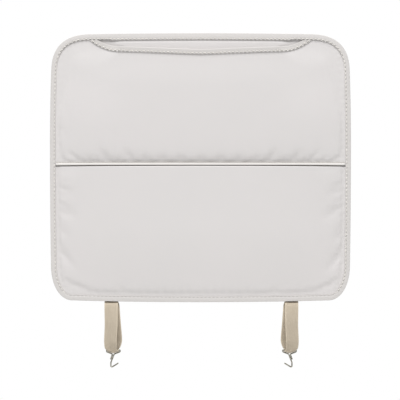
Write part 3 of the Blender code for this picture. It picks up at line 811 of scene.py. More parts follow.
@dataclass
class PocketPanel:
    """A foam-backed leather panel, sewn down along its sides and open along its mouth."""

    pocket: Pocket
    node: str
    columns: int = 210
    rows: int = 76
    coarse_columns: int = 74
    coarse_rows: int = 34
    rim: float = 0.0014
    pucker: float = 0.00014
    pucker_length: float = 0.0125
    billow: float = 0.0009
    mouth_fade: float = 0.0450
    pressure: float = 9.0
    spare: float = 0.004
    sewn_lift: float = 0.015

    def across(self, count: int) -> Array:
        """Return count places across the panel, closer together towards its sides."""
        return (LAYOUT.half_width - LAYOUT.layer_inset) * denser_ends(count, 0.62)

    def limits(self, x: Array) -> tuple[Array, Array]:
        """Return the heights of the panel's lower and upper edges at x."""
        if self.pocket is Pocket.UPPER:
            edge = LAYOUT.edge_height(x, LAYOUT.layer_inset, True)
            mouth = LAYOUT.mouth_height(x, LAYOUT.panel_edge_up)
            return LAYOUT.seam_height + 0.0 * x, np.minimum(edge, mouth)
        mouth = LAYOUT.lower_mouth + LAYOUT.lower_crown * (1.0 - (x / LAYOUT.half_width) ** 2)
        return LAYOUT.edge_height(x, LAYOUT.layer_inset, False), mouth

    def grid(self, columns: int, rows: int, rims: tuple[float, ...]) -> tuple[Array, Array, Array]:
        """Lay out the panel's points.

        Args:
            columns: How many columns run up the panel.
            rows: How many rows cross it, below the rim of its mouth.
            rims: How far below the mouth the further rows lie.

        Returns:
            The places across, the heights and the distances below the mouth.
        """
        x = self.across(columns)
        low, high = self.limits(x)
        turn = np.linspace(0.0, 1.0, rows)
        share = 0.6 * turn + 0.2 * (1.0 - np.cos(pi * turn))
        body = low[:, None] + (high - self.rim - low)[:, None] * share
        z = np.hstack([body, high[:, None] - np.array(rims)])
        return np.repeat(x[:, None], z.shape[1], axis=1), z, high[:, None] - z

    def middle(self, x: Array, z: Array) -> tuple[Array, Array, Array]:
        """Return the depth of the panel's middle, its thickness and its lift at the points x, z."""
        distance, along = LAYOUT.sewn_distance(self.pocket, x, z)
        lift = LAYOUT.lift(self.pocket, x, z, distance)
        gap = LAYOUT.upper_gap if self.pocket is Pocket.UPPER else LAYOUT.lower_gap
        thickness = LAYOUT.panel_pressed + (LAYOUT.panel_thickness - LAYOUT.panel_pressed) * lift
        depth = LAYOUT.panel_back - gap * lift - thickness / 2.0
        near = hump(np.maximum(distance - LAYOUT.lip_width, 0.0), 0.009)
        ripple = np.cos(2.0 * pi * along / self.pucker_length) * near
        if self.pocket is Pocket.UPPER:
            seam = hump(np.maximum(z - LAYOUT.seam_height - LAYOUT.band_width, 0.0), 0.007)
            ripple = ripple + np.cos(2.0 * pi * x / (self.pucker_length * 0.8)) * seam
        return depth - self.pucker * ripple * ease(distance - LAYOUT.lip_width, 0.004), thickness, lift

    def billowed(self, x: Array, share: tuple[int, int]) -> Array:
        """Simulate the panel as cloth and return how far its points move.

        Args:
            x: The places across of the fine grid's columns.
            share: The fine grid's count of body rows and of all rows.

        Returns:
            The movement of each point of the fine grid.
        """
        across, up, _ = self.grid(self.coarse_columns, self.coarse_rows, (0.0,))
        depth, _, lift = self.middle(across, up)
        start = LAYOUT.bowed(across, depth, up)
        moved = settled(start, lift < self.sewn_lift, self.pressure, self.spare) - start
        size = np.linalg.norm(moved, axis=2, keepdims=True)
        moved *= self.billow * np.tanh(size / self.billow) / np.maximum(size, 1e-9)
        coarse = across[:, 0]
        places = np.interp(x, coarse, np.linspace(0.0, 1.0, len(coarse)))
        body, whole = share
        rows = np.concatenate([np.linspace(0.0, 1.0, body), np.ones(whole - body)])
        columns, lines = cubic_weights(places, moved.shape[0]), cubic_weights(rows, moved.shape[1])
        return np.einsum("ai,ijk,bj->abk", columns, moved, lines)

    def build(self) -> bpy.types.Object:
        """Build the panel as a closed slab with a rounded mouth."""
        rims = (0.0011, 0.0008, 0.00045, 0.0002, 0.00006, 0.0)
        x, z, below = self.grid(self.columns, self.rows, rims)
        depth, thickness, lift = self.middle(x, z)
        half = thickness / 2.0
        inside = np.clip(1.0 - below / half, 0.0, 0.985)
        bulge = half * np.sqrt(1.0 - inside ** 2)
        front = LAYOUT.bowed(x, depth - bulge, z)
        back = LAYOUT.bowed(x, depth + bulge, z)
        free = ease(lift, 0.2)
        if self.pocket is Pocket.UPPER:
            free = free * ease(below - LAYOUT.strip_width, self.mouth_fade)
        moved = self.billowed(x[:, 0], (self.rows, x.shape[1])) * free[..., None]
        front, back = front + moved, back + moved
        sections = np.concatenate([front, back[:, ::-1]], axis=1)
        piece = shell(f"{self.pocket.value}_pocket_leather", sections)
        return place_piece(piece, PANEL_LEATHER, "panel_leather", self.node)


@dataclass(frozen=True)
class StitchRun:
    """A row of thread stitches, sewn by Geometry Nodes along a path."""

    pitch: float = 0.0060
    length: float = 0.0041
    thickness: float = 0.00095
    rise: float = 0.00042
    sink: float = 0.00055
    rings: int = 7
    sides: int = 6
    lean: float = 0.035
    seed: int = 7

    def stitch(self) -> bpy.types.Object:
        """Build one stitch: a thread that comes up, lies on the leather and goes down again."""
        turn = np.linspace(-1.0, 1.0, self.rings)
        x = self.length / 2.0 * np.sin(pi / 2.0 * turn)
        arch = (self.rise + self.sink) * (1.0 - turn ** 4) - self.sink
        radius = self.thickness / 2.0 * (1.0 - 0.45 * np.abs(turn) ** 3)
        angles = np.arange(self.sides) / self.sides * 2.0 * pi
        loops = np.stack([
            np.repeat(x[:, None], self.sides, axis=1),
            np.outer(radius, np.cos(angles)),
            arch[:, None] + np.outer(radius, np.sin(angles)),
        ], axis=-1)
        around = np.linspace(0.0, 1.0, self.sides + 1)
        chart = np.stack(np.broadcast_arrays(around[None, :], (turn[:, None] + 1.0) / 2.0), axis=-1)
        return shell("stitch", loops, chart=chart)

    def tree(self) -> bpy.types.NodeTree:
        """Build the tree that spreads stitches along a path and turns each one to face outwards."""
        tree = bpy.data.node_groups.new("stitch_run", "GeometryNodeTree")
        for name, kind in (("Path", "Geometry"), ("Stitch", "Object"), ("Pitch", "Float"), ("Lean", "Float"),
                           ("Facing", "Vector"), ("Seed", "Int"), ("Thread", "Material")):
            tree.interface.new_socket(name=name, in_out="INPUT", socket_type=f"NodeSocket{kind}")
        tree.interface.new_socket(name="Stitches", in_out="OUTPUT", socket_type="NodeSocketGeometry")
        graph = Graph(tree)
        given = graph.node("NodeGroupInput").outputs
        curve = graph.node("GeometryNodeMeshToCurve", {"Mesh": given["Path"]}).outputs[0]
        length = graph.node("GeometryNodeCurveLength", {"Curve": curve}).outputs[0]
        count = graph.sum("ROUND", graph.sum("DIVIDE", length, given["Pitch"]))
        spread = graph.node("GeometryNodeResampleCurve", {"Curve": curve, "Count": count}).outputs[0]
        tangent = graph.node("GeometryNodeInputTangent").outputs[0]
        turned = graph.node("FunctionNodeAxesToRotation",
                            {"Primary Axis": tangent, "Secondary Axis": given["Facing"]},
                            primary_axis="X", secondary_axis="Z").outputs[0]
        least = graph.sum("MULTIPLY", given["Lean"], -1.0)
        chance = graph.node("FunctionNodeRandomValue", {"Seed": given["Seed"]}, data_type="FLOAT")
        tree.links.new(least, chance.inputs[2])
        tree.links.new(given["Lean"], chance.inputs[3])
        angle = graph.node("ShaderNodeCombineXYZ", {"Z": chance.outputs[1]}).outputs[0]
        small = graph.node("FunctionNodeEulerToRotation", {0: angle}).outputs[0]
        rotation = graph.node("FunctionNodeRotateRotation", {"Rotation": turned, "Rotate By": small},
                              rotation_space="LOCAL").outputs[0]
        thread = graph.node("GeometryNodeObjectInfo", {"Object": given["Stitch"]}).outputs["Geometry"]
        placed = graph.node("GeometryNodeInstanceOnPoints",
                            {"Points": spread, "Instance": thread, "Rotation": rotation}).outputs[0]
        real = graph.node("GeometryNodeRealizeInstances", {"Geometry": placed}).outputs[0]
        dressed = graph.node("GeometryNodeSetMaterial",
                             {"Geometry": real, "Material": given["Thread"]}).outputs[0]
        graph.node("NodeGroupOutput", {"Stitches": dressed})
        return tree

    def sew(self, name: str, paths: list[Array], closed: bool, facing: Facing) -> bpy.types.Object:
        """Sew a row of stitches along each path.

        Args:
            name: The piece's name.
            paths: The points of each path, one a row.
            closed: True when each path's last point joins its first.
            facing: The way that the stitches face.

        Returns:
            The stitches, as one plain mesh.
        """
        points = np.vstack(paths)
        edges = []
        first = 0
        for path in paths:
            edges.extend((first + step, first + step + 1) for step in range(len(path) - 1))
            if closed:
                edges.append((first + len(path) - 1, first))
            first += len(path)
        line = bpy.data.meshes.new("path")
        line.from_pydata(points.tolist(), edges, [])
        path_object = add_object("path", line)
        stitch, tree = self.stitch(), self.tree()
        modifier = path_object.modifiers.new("stitches", "NODES")
        modifier.node_group = tree
        values = {"Stitch": stitch, "Pitch": self.pitch, "Lean": self.lean, "Facing": facing.value,
                  "Seed": self.seed, "Thread": THREAD.material()}
        for item in tree.interface.items_tree:
            if item.name in values and item.in_out == "INPUT":
                modifier[item.identifier] = values[item.name]
        evaluated = path_object.evaluated_get(bpy.context.evaluated_depsgraph_get())
        mesh = bpy.data.meshes.new_from_object(evaluated)
        mesh.name = name
        mesh.shade_smooth()
        for helper in (path_object, stitch):
            bpy.data.objects.remove(helper, do_unlink=True)
        bpy.data.node_groups.remove(tree)
        return place_piece(add_object(name, mesh), THREAD, "binding_leather")


def stitch_relief(across: Array, phase: Array, groove: float, hole: float, reach: float, pitch: float,
                  hole_size: float = 0.0004) -> Array:
    """Return how far the leather is drawn in along a row of stitches; the pieces also paint shade in
    proportion to it.

    Args:
        across: The distance from the row of stitches.
        phase: The place along the row in stitches, whole at the middle of each.
        groove: The depth of the groove that the thread pulls.
        hole: The further depth at the needle's holes.
        reach: How far the holes lie from the middle of a stitch.
        pitch: The length of one stitch and its gap.
        hole_size: How wide each hole draws the leather in.

    Returns:
        The depths, in metres.
    """
    place = (phase - np.round(phase)) * pitch
    from_hole = np.hypot(across, np.abs(place) - reach)
    pulled = groove * hump(across, 0.0007) * (0.8 + 0.2 * np.cos(2.0 * pi * phase))
    return pulled + hole * hump(from_hole, hole_size)


@dataclass
class EdgeBinding:
    """The leather strip that is folded round the whole edge, with its two rows of stitches.

    Along the bottom the thread is sunk under the leather, and dashes of painted shade stand for its stitches.
    Painted shade also darkens the stitch grooves and holes, and a line along the lip's inner edge below the
    top.
    """

    stitch_inset: float = 0.0065
    end_shift: float = 0.0008
    top_shift: float = 0.0009
    top_extra: float = 0.140
    side_less: float = 0.065
    end_sink: float = 0.00170
    ends_from: float = 0.150
    ends_run: float = 0.030
    bare_half: float = 0.1400
    bare_run: float = 0.0060
    # Below the next height the thread is sunk under the leather, and dashes of painted shade stand for its
    # stitches.
    low_from: float = 0.185
    low_run: float = 0.010
    # Above the next height the painted shade line along the lip's inner edge is left off; the two after it
    # give that line's width and strength.
    edge_shade_top: float = 0.120
    cut_width: tuple[float, float] = (0.00010, 0.00050)
    edge_shade_strength: float = 0.85
    roll: float = 0.0007
    groove: float = 0.00022
    hole: float = 0.00050
    puff: float = 0.00008
    sag: float = 0.00035
    steps: int = 6
    run: StitchRun = StitchRun(length=0.0040, thickness=0.0012, rise=0.00070)

    def spine(self) -> tuple[Array, Array]:
        """Return the points of the stitch line, and the directions inwards from them."""
        rough = LAYOUT.ring(2400, self.stitch_inset)
        length = np.linalg.norm(np.roll(rough, -1, axis=0) - rough, axis=1).sum()
        ring = LAYOUT.ring(round(length / self.run.pitch) * self.steps, self.stitch_inset)
        along = np.roll(ring, -1, axis=0) - np.roll(ring, 1, axis=0)
        along /= np.linalg.norm(along, axis=1)[:, None]
        return ring, np.column_stack([-along[:, 1], along[:, 0]])

    def profile(self) -> Array:
        """Return the strip's outer face as rows of inset and side, -1 at the back and 1 at the front."""
        lip = LAYOUT.lip_width
        flat = np.array([0.0, 0.03, 0.12, 0.28, 0.55, 0.85, 1.15, 1.45, 1.75, 2.05, 2.35, 2.6, 2.9,
                         3.3, 3.9, 4.6, 5.4, 6.3, 7.2, 7.9, 8.2]) * 0.001
        front = np.column_stack([lip - flat, np.ones(len(flat))])
        angles = np.radians(np.linspace(78.0, -78.0, 9))
        fold = np.column_stack([self.roll * (1.0 - np.cos(angles)), np.sin(angles)])
        back = front[::-2].copy()
        back[:, 1] = -1.0
        return np.vstack([front, fold, back])

    def build(self) -> list[bpy.types.Object]:
        """Build the strip and sew it."""
        ring, inward = self.spine()
        profile = self.profile()
        phase = np.arange(len(ring)) / self.steps
        front = LAYOUT.edge_front(ring[:, 0], ring[:, 1])
        back = np.full(len(ring), LAYOUT.binding_back)
        inset, side = profile[:, 0], profile[:, 1]
        centre, half = (front + back) / 2.0, (back - front) / 2.0
        y = centre[:, None] - half[:, None] * side
        from_lip = LAYOUT.lip_width - inset
        at_end = ease(np.abs(ring[:, 1]) - self.ends_from, self.ends_run)
        bare_top = ease(self.bare_half - np.abs(ring[:, 0]), self.bare_run) * (ring[:, 1] > 0.0)
        further = self.end_shift * at_end + self.top_shift * bare_top
        stretch = (1.0 + self.top_extra * bare_top - self.side_less * (1.0 - at_end))[:, None]
        from_row = np.abs(inset[None, :] * stretch - self.stitch_inset - further[:, None])
        drawn = stitch_relief(from_row, phase[:, None], self.groove, self.hole, self.run.length / 2.0,
                              self.run.pitch)
        puffed = self.puff * (hump(inset - 0.0043, 0.0014) + 0.5 * hump(inset - 0.0079, 0.0006))
        level = np.where(np.abs(side) > 0.9, np.sign(side), 0.0)
        outer = np.clip((self.stitch_inset - inset) / self.stitch_inset, 0.0, 1.0)
        puffed = puffed - self.sag * outer ** 2
        beat = np.cos(2.0 * pi * phase[:, None])
        y = y + level * (drawn + rounding(from_lip) - puffed * (0.85 + 0.15 * beat))
        inner = np.array([
            (LAYOUT.lip_width, -1.0), (0.0030, -1.0), (0.0017, -0.93), (0.0010, -0.6),
            (0.0010, 0.6), (0.0017, 0.93), (0.0030, 1.0), (LAYOUT.lip_width, 1.0),
        ])
        inner_y = centre[:, None] - (half[:, None] - LAYOUT.binding_thickness) * inner[:, 1]
        all_inset = np.concatenate([inset, inner[:, 0]])
        all_y = np.hstack([y, inner_y])
        shift = all_inset[None, :] * stretch - self.stitch_inset
        x = ring[:, :1] + inward[:, :1] * shift
        z = ring[:, 1:] + inward[:, 1:] * shift
        # Painted shade: a dark line along the lip's inner edge, left off along the top, and darkening in the
        # stitch grooves and holes.
        cut = np.interp(from_lip, self.cut_width, (self.edge_shade_strength, 0.0))
        softer = 1.0 - ease(ring[:, 1] - self.edge_shade_top, self.ends_run)[:, None]
        dark = np.maximum(drawn / (self.groove + self.hole), softer * cut * (side > 0.9))
        # Painted shade: dark dashes along the bottom row stand for its sunk stitches.
        low = ease(-self.low_from - ring[:, 1], self.low_run)[:, None] * (0.55 + 0.45 * beat)
        dark = np.maximum(dark, low * hump(from_row, 0.0007) * (side > 0.9))
        painted_shade_share = np.hstack([dark, np.zeros_like(inner_y)])
        piece = shell("edge_binding_leather", LAYOUT.bowed(x, all_y, z), closed=True, crease=painted_shade_share)
        place_piece(piece, SHADED_BINDING_LEATHER, "binding_leather", "edge_binding")
        made = [piece]
        for facing, plane, sign in ((Facing.FRONT, front, -1.0), (Facing.BACK, back, 1.0)):
            row = ring + inward * further[:, None]
            sunk = self.groove + self.end_sink * ease(-self.low_from - row[:, 1], self.low_run)
            path = LAYOUT.bowed(row[:, 0], plane - sign * sunk, row[:, 1])
            made.append(self.run.sew(f"binding_stitches_{facing.name.lower()}", [path], True, facing))
        return made


def strip_sections(outer: Array, inner: Array) -> Array:
    """Close a strip's outer face with its inner one, spread over as many points.

    Args:
        outer: The outer face, as columns by points by coordinates.
        inner: A few points of the inner face for each column, in the same order as the outer ones.

    Returns:
        The closed loops.
    """
    places = np.linspace(0.0, inner.shape[1] - 1.0, outer.shape[1])
    low = np.minimum(places.astype(int), inner.shape[1] - 2)
    share = (places - low)[None, :, None]
    spread = inner[:, low] * (1.0 - share) + inner[:, low + 1] * share
    return np.concatenate([outer, spread[:, ::-1]], axis=1)


@dataclass
class MouthStrip:
    """The curved leather strip that is folded over the upper pocket's mouth."""

    stitch_up: float = 0.0024
    clearance: float = 0.0001
    end_gap: float = 0.0003
    fold: float = 0.0006
    groove: float = 0.00022
    hole: float = 0.00040
    # The next two give the width and strength of the painted shadow line along the strip's lower edge.
    cut_width: tuple[float, float] = (0.00010, 0.00050)
    edge_shade_strength: float = 0.6
    steps: int = 8
    run: StitchRun = StitchRun(pitch=0.0061, length=0.0040, thickness=0.0013, rise=0.00085, seed=11)

    def spine(self) -> Array:
        """Return the places across of the strip's columns, even along its stitches."""
        end = LAYOUT.mouth_end(self.stitch_up, LAYOUT.lip_width + self.end_gap)
        x = np.linspace(-end, end, 1600)
        line = np.column_stack([x, LAYOUT.mouth_height(x, self.stitch_up)])
        stitches = round(arc_lengths(line)[-1] / self.run.pitch)
        return evenly(line, stitches * self.steps + 1)[:, 0]

    def build(self) -> list[bpy.types.Object]:
        """Build the strip and sew it."""
        spine = self.spine()
        half = spine[-1]
        thick, width = LAYOUT.binding_thickness, LAYOUT.strip_width
        top = LAYOUT.panel_edge_up
        front_up = np.array([0.0, 0.03, 0.12, 0.3, 0.6, 1.1, 1.5, 1.8, 2.0, 2.2, 2.4, 2.6, 2.8,
                             3.1, 3.6, 4.3, 5.2, 6.2, 7.0]) * 0.001
        angles = np.radians(np.linspace(90.0, -90.0, 9))
        back_up = np.array([7.0, 6.2, 4.8, 3.2, 1.8, 0.8, 0.05]) * 0.001
        up = np.concatenate([front_up, width - self.fold * (1.0 - np.cos(angles)), back_up])
        side = np.concatenate([np.ones(len(front_up)), np.sin(angles), -np.ones(len(back_up))])
        phase = (np.arange(len(spine)) / self.steps)[:, None]

        def placed(up_places: Array, sides: Array, skin: float) -> tuple[Array, Array, Array]:
            """Return the points of rows at those heights and sides, skin out from the panel."""
            reach = np.array([LAYOUT.mouth_end(u, LAYOUT.lip_width + self.end_gap) for u in up_places])
            x = spine[:, None] / half * reach
            z = np.stack([LAYOUT.mouth_height(x[:, k], u) for k, u in enumerate(up_places)], axis=1)
            flat = np.minimum(z, LAYOUT.mouth_height(x, top))
            face = LAYOUT.upper_face(x, flat)
            distance, _ = LAYOUT.sewn_distance(Pocket.UPPER, x, flat)
            back = LAYOUT.panel_back - LAYOUT.upper_gap * LAYOUT.lift(Pocket.UPPER, x, flat, distance)
            back = face + (back - face) * (1.0 - 0.7 * ease(up_places - top, 0.0010))
            middle = (face + back) / 2.0
            return x, middle - sides * ((back - face) / 2.0 + skin), z

        x, y, z = placed(up, side, self.clearance + thick)
        drawn = stitch_relief(np.abs(up - self.stitch_up)[None, :], phase - 0.5, self.groove, self.hole,
                              self.run.length / 2.0, self.run.pitch)
        level = np.where(np.abs(side) > 0.98, np.sign(side), 0.0)
        y = y + level * (drawn + rounding(up))
        inner_up = np.array([0.03, 3.0, 5.0, 6.3, 6.9, 6.3, 5.0, 3.0, 0.03]) * 0.001
        inner_side = np.array([1.0, 1.0, 1.0, 0.9, 0.0, -0.9, -1.0, -1.0, -1.0])
        ix, iy, iz = placed(inner_up, inner_side, self.clearance)
        loops = strip_sections(LAYOUT.bowed(x, y, z), LAYOUT.bowed(ix, iy, iz))
        # Painted shade: a shadow line along the strip's lower edge, and darkening in the stitch grooves and
        # holes.
        cut = np.interp(up, self.cut_width, (self.edge_shade_strength, 0.0)) * (side > 0.98)
        dark = np.maximum(0.7 * drawn / (self.groove + self.hole), cut)
        painted_shade_share = np.hstack([dark, np.zeros_like(drawn)])
        piece = shell("mouth_strip_leather", loops, crease=painted_shade_share)
        place_piece(piece, SHADED_STRIP_LEATHER, "binding_leather", "upper_mouth_binding")
        row = np.column_stack([spine, LAYOUT.mouth_height(spine, self.stitch_up)])
        face = LAYOUT.upper_face(row[:, 0], row[:, 1]) - self.clearance - thick + self.groove
        path = LAYOUT.bowed(row[:, 0], face, row[:, 1])
        stitches = (len(spine) - 1) // self.steps
        inner = evenly(path, stitches * 40 + 1)[20:-20]
        run = replace(self.run, pitch=arc_lengths(inner)[-1] / stitches)
        return [piece, run.sew("mouth_stitches", [inner], False, Facing.FRONT)]


@dataclass
class MiddleBand:
    """The leather band on the middle seam. Its stitches draw its upper edge into small teeth.

    Both of its edges carry painted shade, as far up the band as edge_places says, and painted shade darkens
    its stitch holes.
    """

    below_top: float = 0.0007
    tooth: float = 0.0007
    hole_size: float = 0.0007
    groove: float = 0.00025
    hole: float = 0.00040
    # How strong the painted shade is at each place up the band, from its bottom edge to its top.
    edge_places: tuple[float, ...] = (0.0, 0.10, 0.26, 0.76, 0.84)
    edge_shades: tuple[float, ...] = (1.0, 0.9, 0.0, 0.0, 1.3)
    steps: int = 8
    run: StitchRun = StitchRun(pitch=0.0039, length=0.0026, thickness=0.0009, seed=3)

    def build(self) -> list[bpy.types.Object]:
        """Build the band and sew it."""
        half = LAYOUT.half_width - LAYOUT.lip_width - LAYOUT.seam_gap
        stitches = round(2.0 * half / self.run.pitch)
        x = np.linspace(-half, half, stitches * self.steps + 1)[:, None]
        phase = (np.arange(len(x)) / self.steps)[:, None] - 0.5
        bottom = LAYOUT.seam_height - LAYOUT.seam_gap
        top = bottom + LAYOUT.band_width
        plane = LAYOUT.panel_back - LAYOUT.panel_pressed - LAYOUT.seam_gap
        thick = LAYOUT.binding_thickness
        back = LAYOUT.panel_back
        teeth = self.tooth * (0.5 - 0.5 * np.cos(2.0 * pi * phase))
        share = np.array([0.0, 0.0, 0.02, 0.06, 0.12, 0.20, 0.32, 0.46,
                          0.60, 0.70, 0.78, 0.85, 0.91, 0.96, 1.0])
        proud = np.array([0.0, 0.85, 1.18, 1.42, 1.57, 1.62, 1.52, 1.34,
                          1.14, 0.99, 0.87, 0.74, 0.58, 0.38, 0.15])
        height = bottom + (top - bottom - teeth) * share
        face = np.where(np.arange(len(share)) == 0, back, plane - thick * proud)
        row = top - self.below_top
        drawn = stitch_relief(np.abs(height - row), phase, self.groove, self.hole, self.run.length / 2.0,
                              self.run.pitch, self.hole_size)
        outer = LAYOUT.bowed(x + 0.0 * height, face + drawn * (share > 0.1), height)
        wide = LAYOUT.band_width
        inner_height = bottom + np.array([thick, thick, thick * 1.2, wide * 0.6, wide * 0.86])
        inner_face = np.array([back, plane * 0.5 + back * 0.5, plane, plane, plane])
        spots = x + 0.0 * inner_height
        inner = LAYOUT.bowed(spots, inner_face + 0.0 * spots, inner_height + 0.0 * spots)
        # Painted shade along both edges and in the stitch holes.
        edge = np.interp(share, self.edge_places, self.edge_shades)
        dark = np.maximum(drawn / (self.groove + self.hole), edge)
        painted_shade_share = np.hstack([dark, np.zeros_like(drawn)])
        piece = shell("middle_band_leather", strip_sections(outer, inner), crease=painted_shade_share)
        place_piece(piece, LIT_BAND_LEATHER, "binding_leather", "middle_band")
        span = half - self.run.pitch / 2.0
        line = np.linspace(-span, span, 200)
        path = LAYOUT.bowed(line, np.full(200, plane - thick * 0.84 + self.groove), np.full(200, row))
        run = replace(self.run, pitch=2.0 * span / (stitches - 1))
        return [piece, run.sew("middle_stitches", [path], False, Facing.FRONT)]


@dataclass
class BaseFace:
    """The leather face behind both pockets, over its foam pad."""

    columns: int = 120
    rows: int = 140
    swell: float = 0.00015
    bare_rise: float = 0.0005
    bare_half: float = 0.1480
    tuck: float = 0.0140
    tuck_half: float = 0.1250
    tuck_run: float = 0.0300

    def build(self) -> bpy.types.Object:
        """Build the face as a closed sheet that swells over the foam, most in the bare lens at the top."""
        inset = LAYOUT.layer_inset
        across = (LAYOUT.half_width - inset) * denser_ends(self.columns, 0.62)
        low, high = LAYOUT.edge_height(across, inset, False), LAYOUT.edge_height(across, inset, True)
        share = 1.0 - (1.0 - np.linspace(0.0, 1.0, self.rows)) ** 2
        z = low[:, None] + (high - low)[:, None] * share
        x = np.repeat(across[:, None], self.rows, axis=1)
        to_side = LAYOUT.half_width - inset - np.abs(x)
        to_end = np.minimum(high[:, None] - z, z - low[:, None])
        near = np.minimum(to_side, to_end)
        raised = self.swell * ease(near - LAYOUT.lip_width, 0.012)
        past_mouth = z - LAYOUT.mouth_height(x, LAYOUT.strip_width + 0.0010)
        past_mouth = past_mouth + self.tuck * ease(self.tuck_half - np.abs(x), self.tuck_run)
        bare = ease(past_mouth, 0.0016) * ease(near - 1.15 * LAYOUT.lip_width, 0.0012)
        bare *= ease(self.bare_half - np.abs(x), 0.0060)
        raised = raised * ease(z - 0.10, 0.05) + self.bare_rise * bare
        front = LAYOUT.bowed(x, LAYOUT.base_front - raised, z)
        back = LAYOUT.bowed(x, np.full_like(x, LAYOUT.base_back), z)
        piece = shell("base_leather", np.concatenate([front, back[:, ::-1]], axis=1))
        return place_piece(piece, PANEL_LEATHER, "panel_leather", "base_face")


@dataclass
class Lining:
    """The woven lining: a flat field against the seat, and a slope up to where the binding catches it."""

    inner: float = 0.0160
    outer: float = 0.0100
    thickness: float = 0.0008
    caught: float = -0.00415
    shrunk: float = 0.0180
    slit: float = 0.00003
    last_ring: float = 0.0004

    def build(self) -> bpy.types.Object:
        """Build the lining as rings, from its caught edge in to a slit too thin to see in the middle."""
        insets = [LAYOUT.layer_inset, 0.0050, 0.0085, 0.0092, 0.0100, 0.0108, 0.0118, 0.0132, 0.0146,
                  0.0156, 0.0166, self.shrunk]
        insets += list(np.linspace(0.0260, 0.1960, 22))
        insets += [LAYOUT.half_height - self.last_ring, LAYOUT.half_height - self.slit]
        count = 400
        loops_back, loops_front = [], []
        for inset in insets:
            ring = self.loop(inset, count)
            share = float(ease(np.array(inset - self.outer), self.inner - self.outer))
            depth = self.caught * (1.0 - share)
            loops_back.append(LAYOUT.bowed(ring[:, 0], np.full(count, depth), ring[:, 1]))
            loops_front.append(LAYOUT.bowed(ring[:, 0], np.full(count, depth - self.thickness), ring[:, 1]))
        back, front = np.stack(loops_back, axis=1), np.stack(loops_front, axis=1)
        piece = shell("lining_cloth", np.concatenate([back, front[:, ::-1]], axis=1), closed=True)
        return place_piece(piece, LINING_CLOTH, "lining_fabric", "back_lining")

    def loop(self, inset: float, count: int) -> Array:
        """Return a ring of the outline shrunk by inset, down to a short line in the middle."""
        half_width, half_height = LAYOUT.half_width, LAYOUT.half_height
        safe = min(inset, self.shrunk)
        ring = LAYOUT.ring(count, safe)
        scale_x = (half_width - inset) / (half_width - safe)
        scale_z = (half_height - inset) / (half_height - safe)
        return ring * np.array([scale_x, max(scale_z, 0.0)])


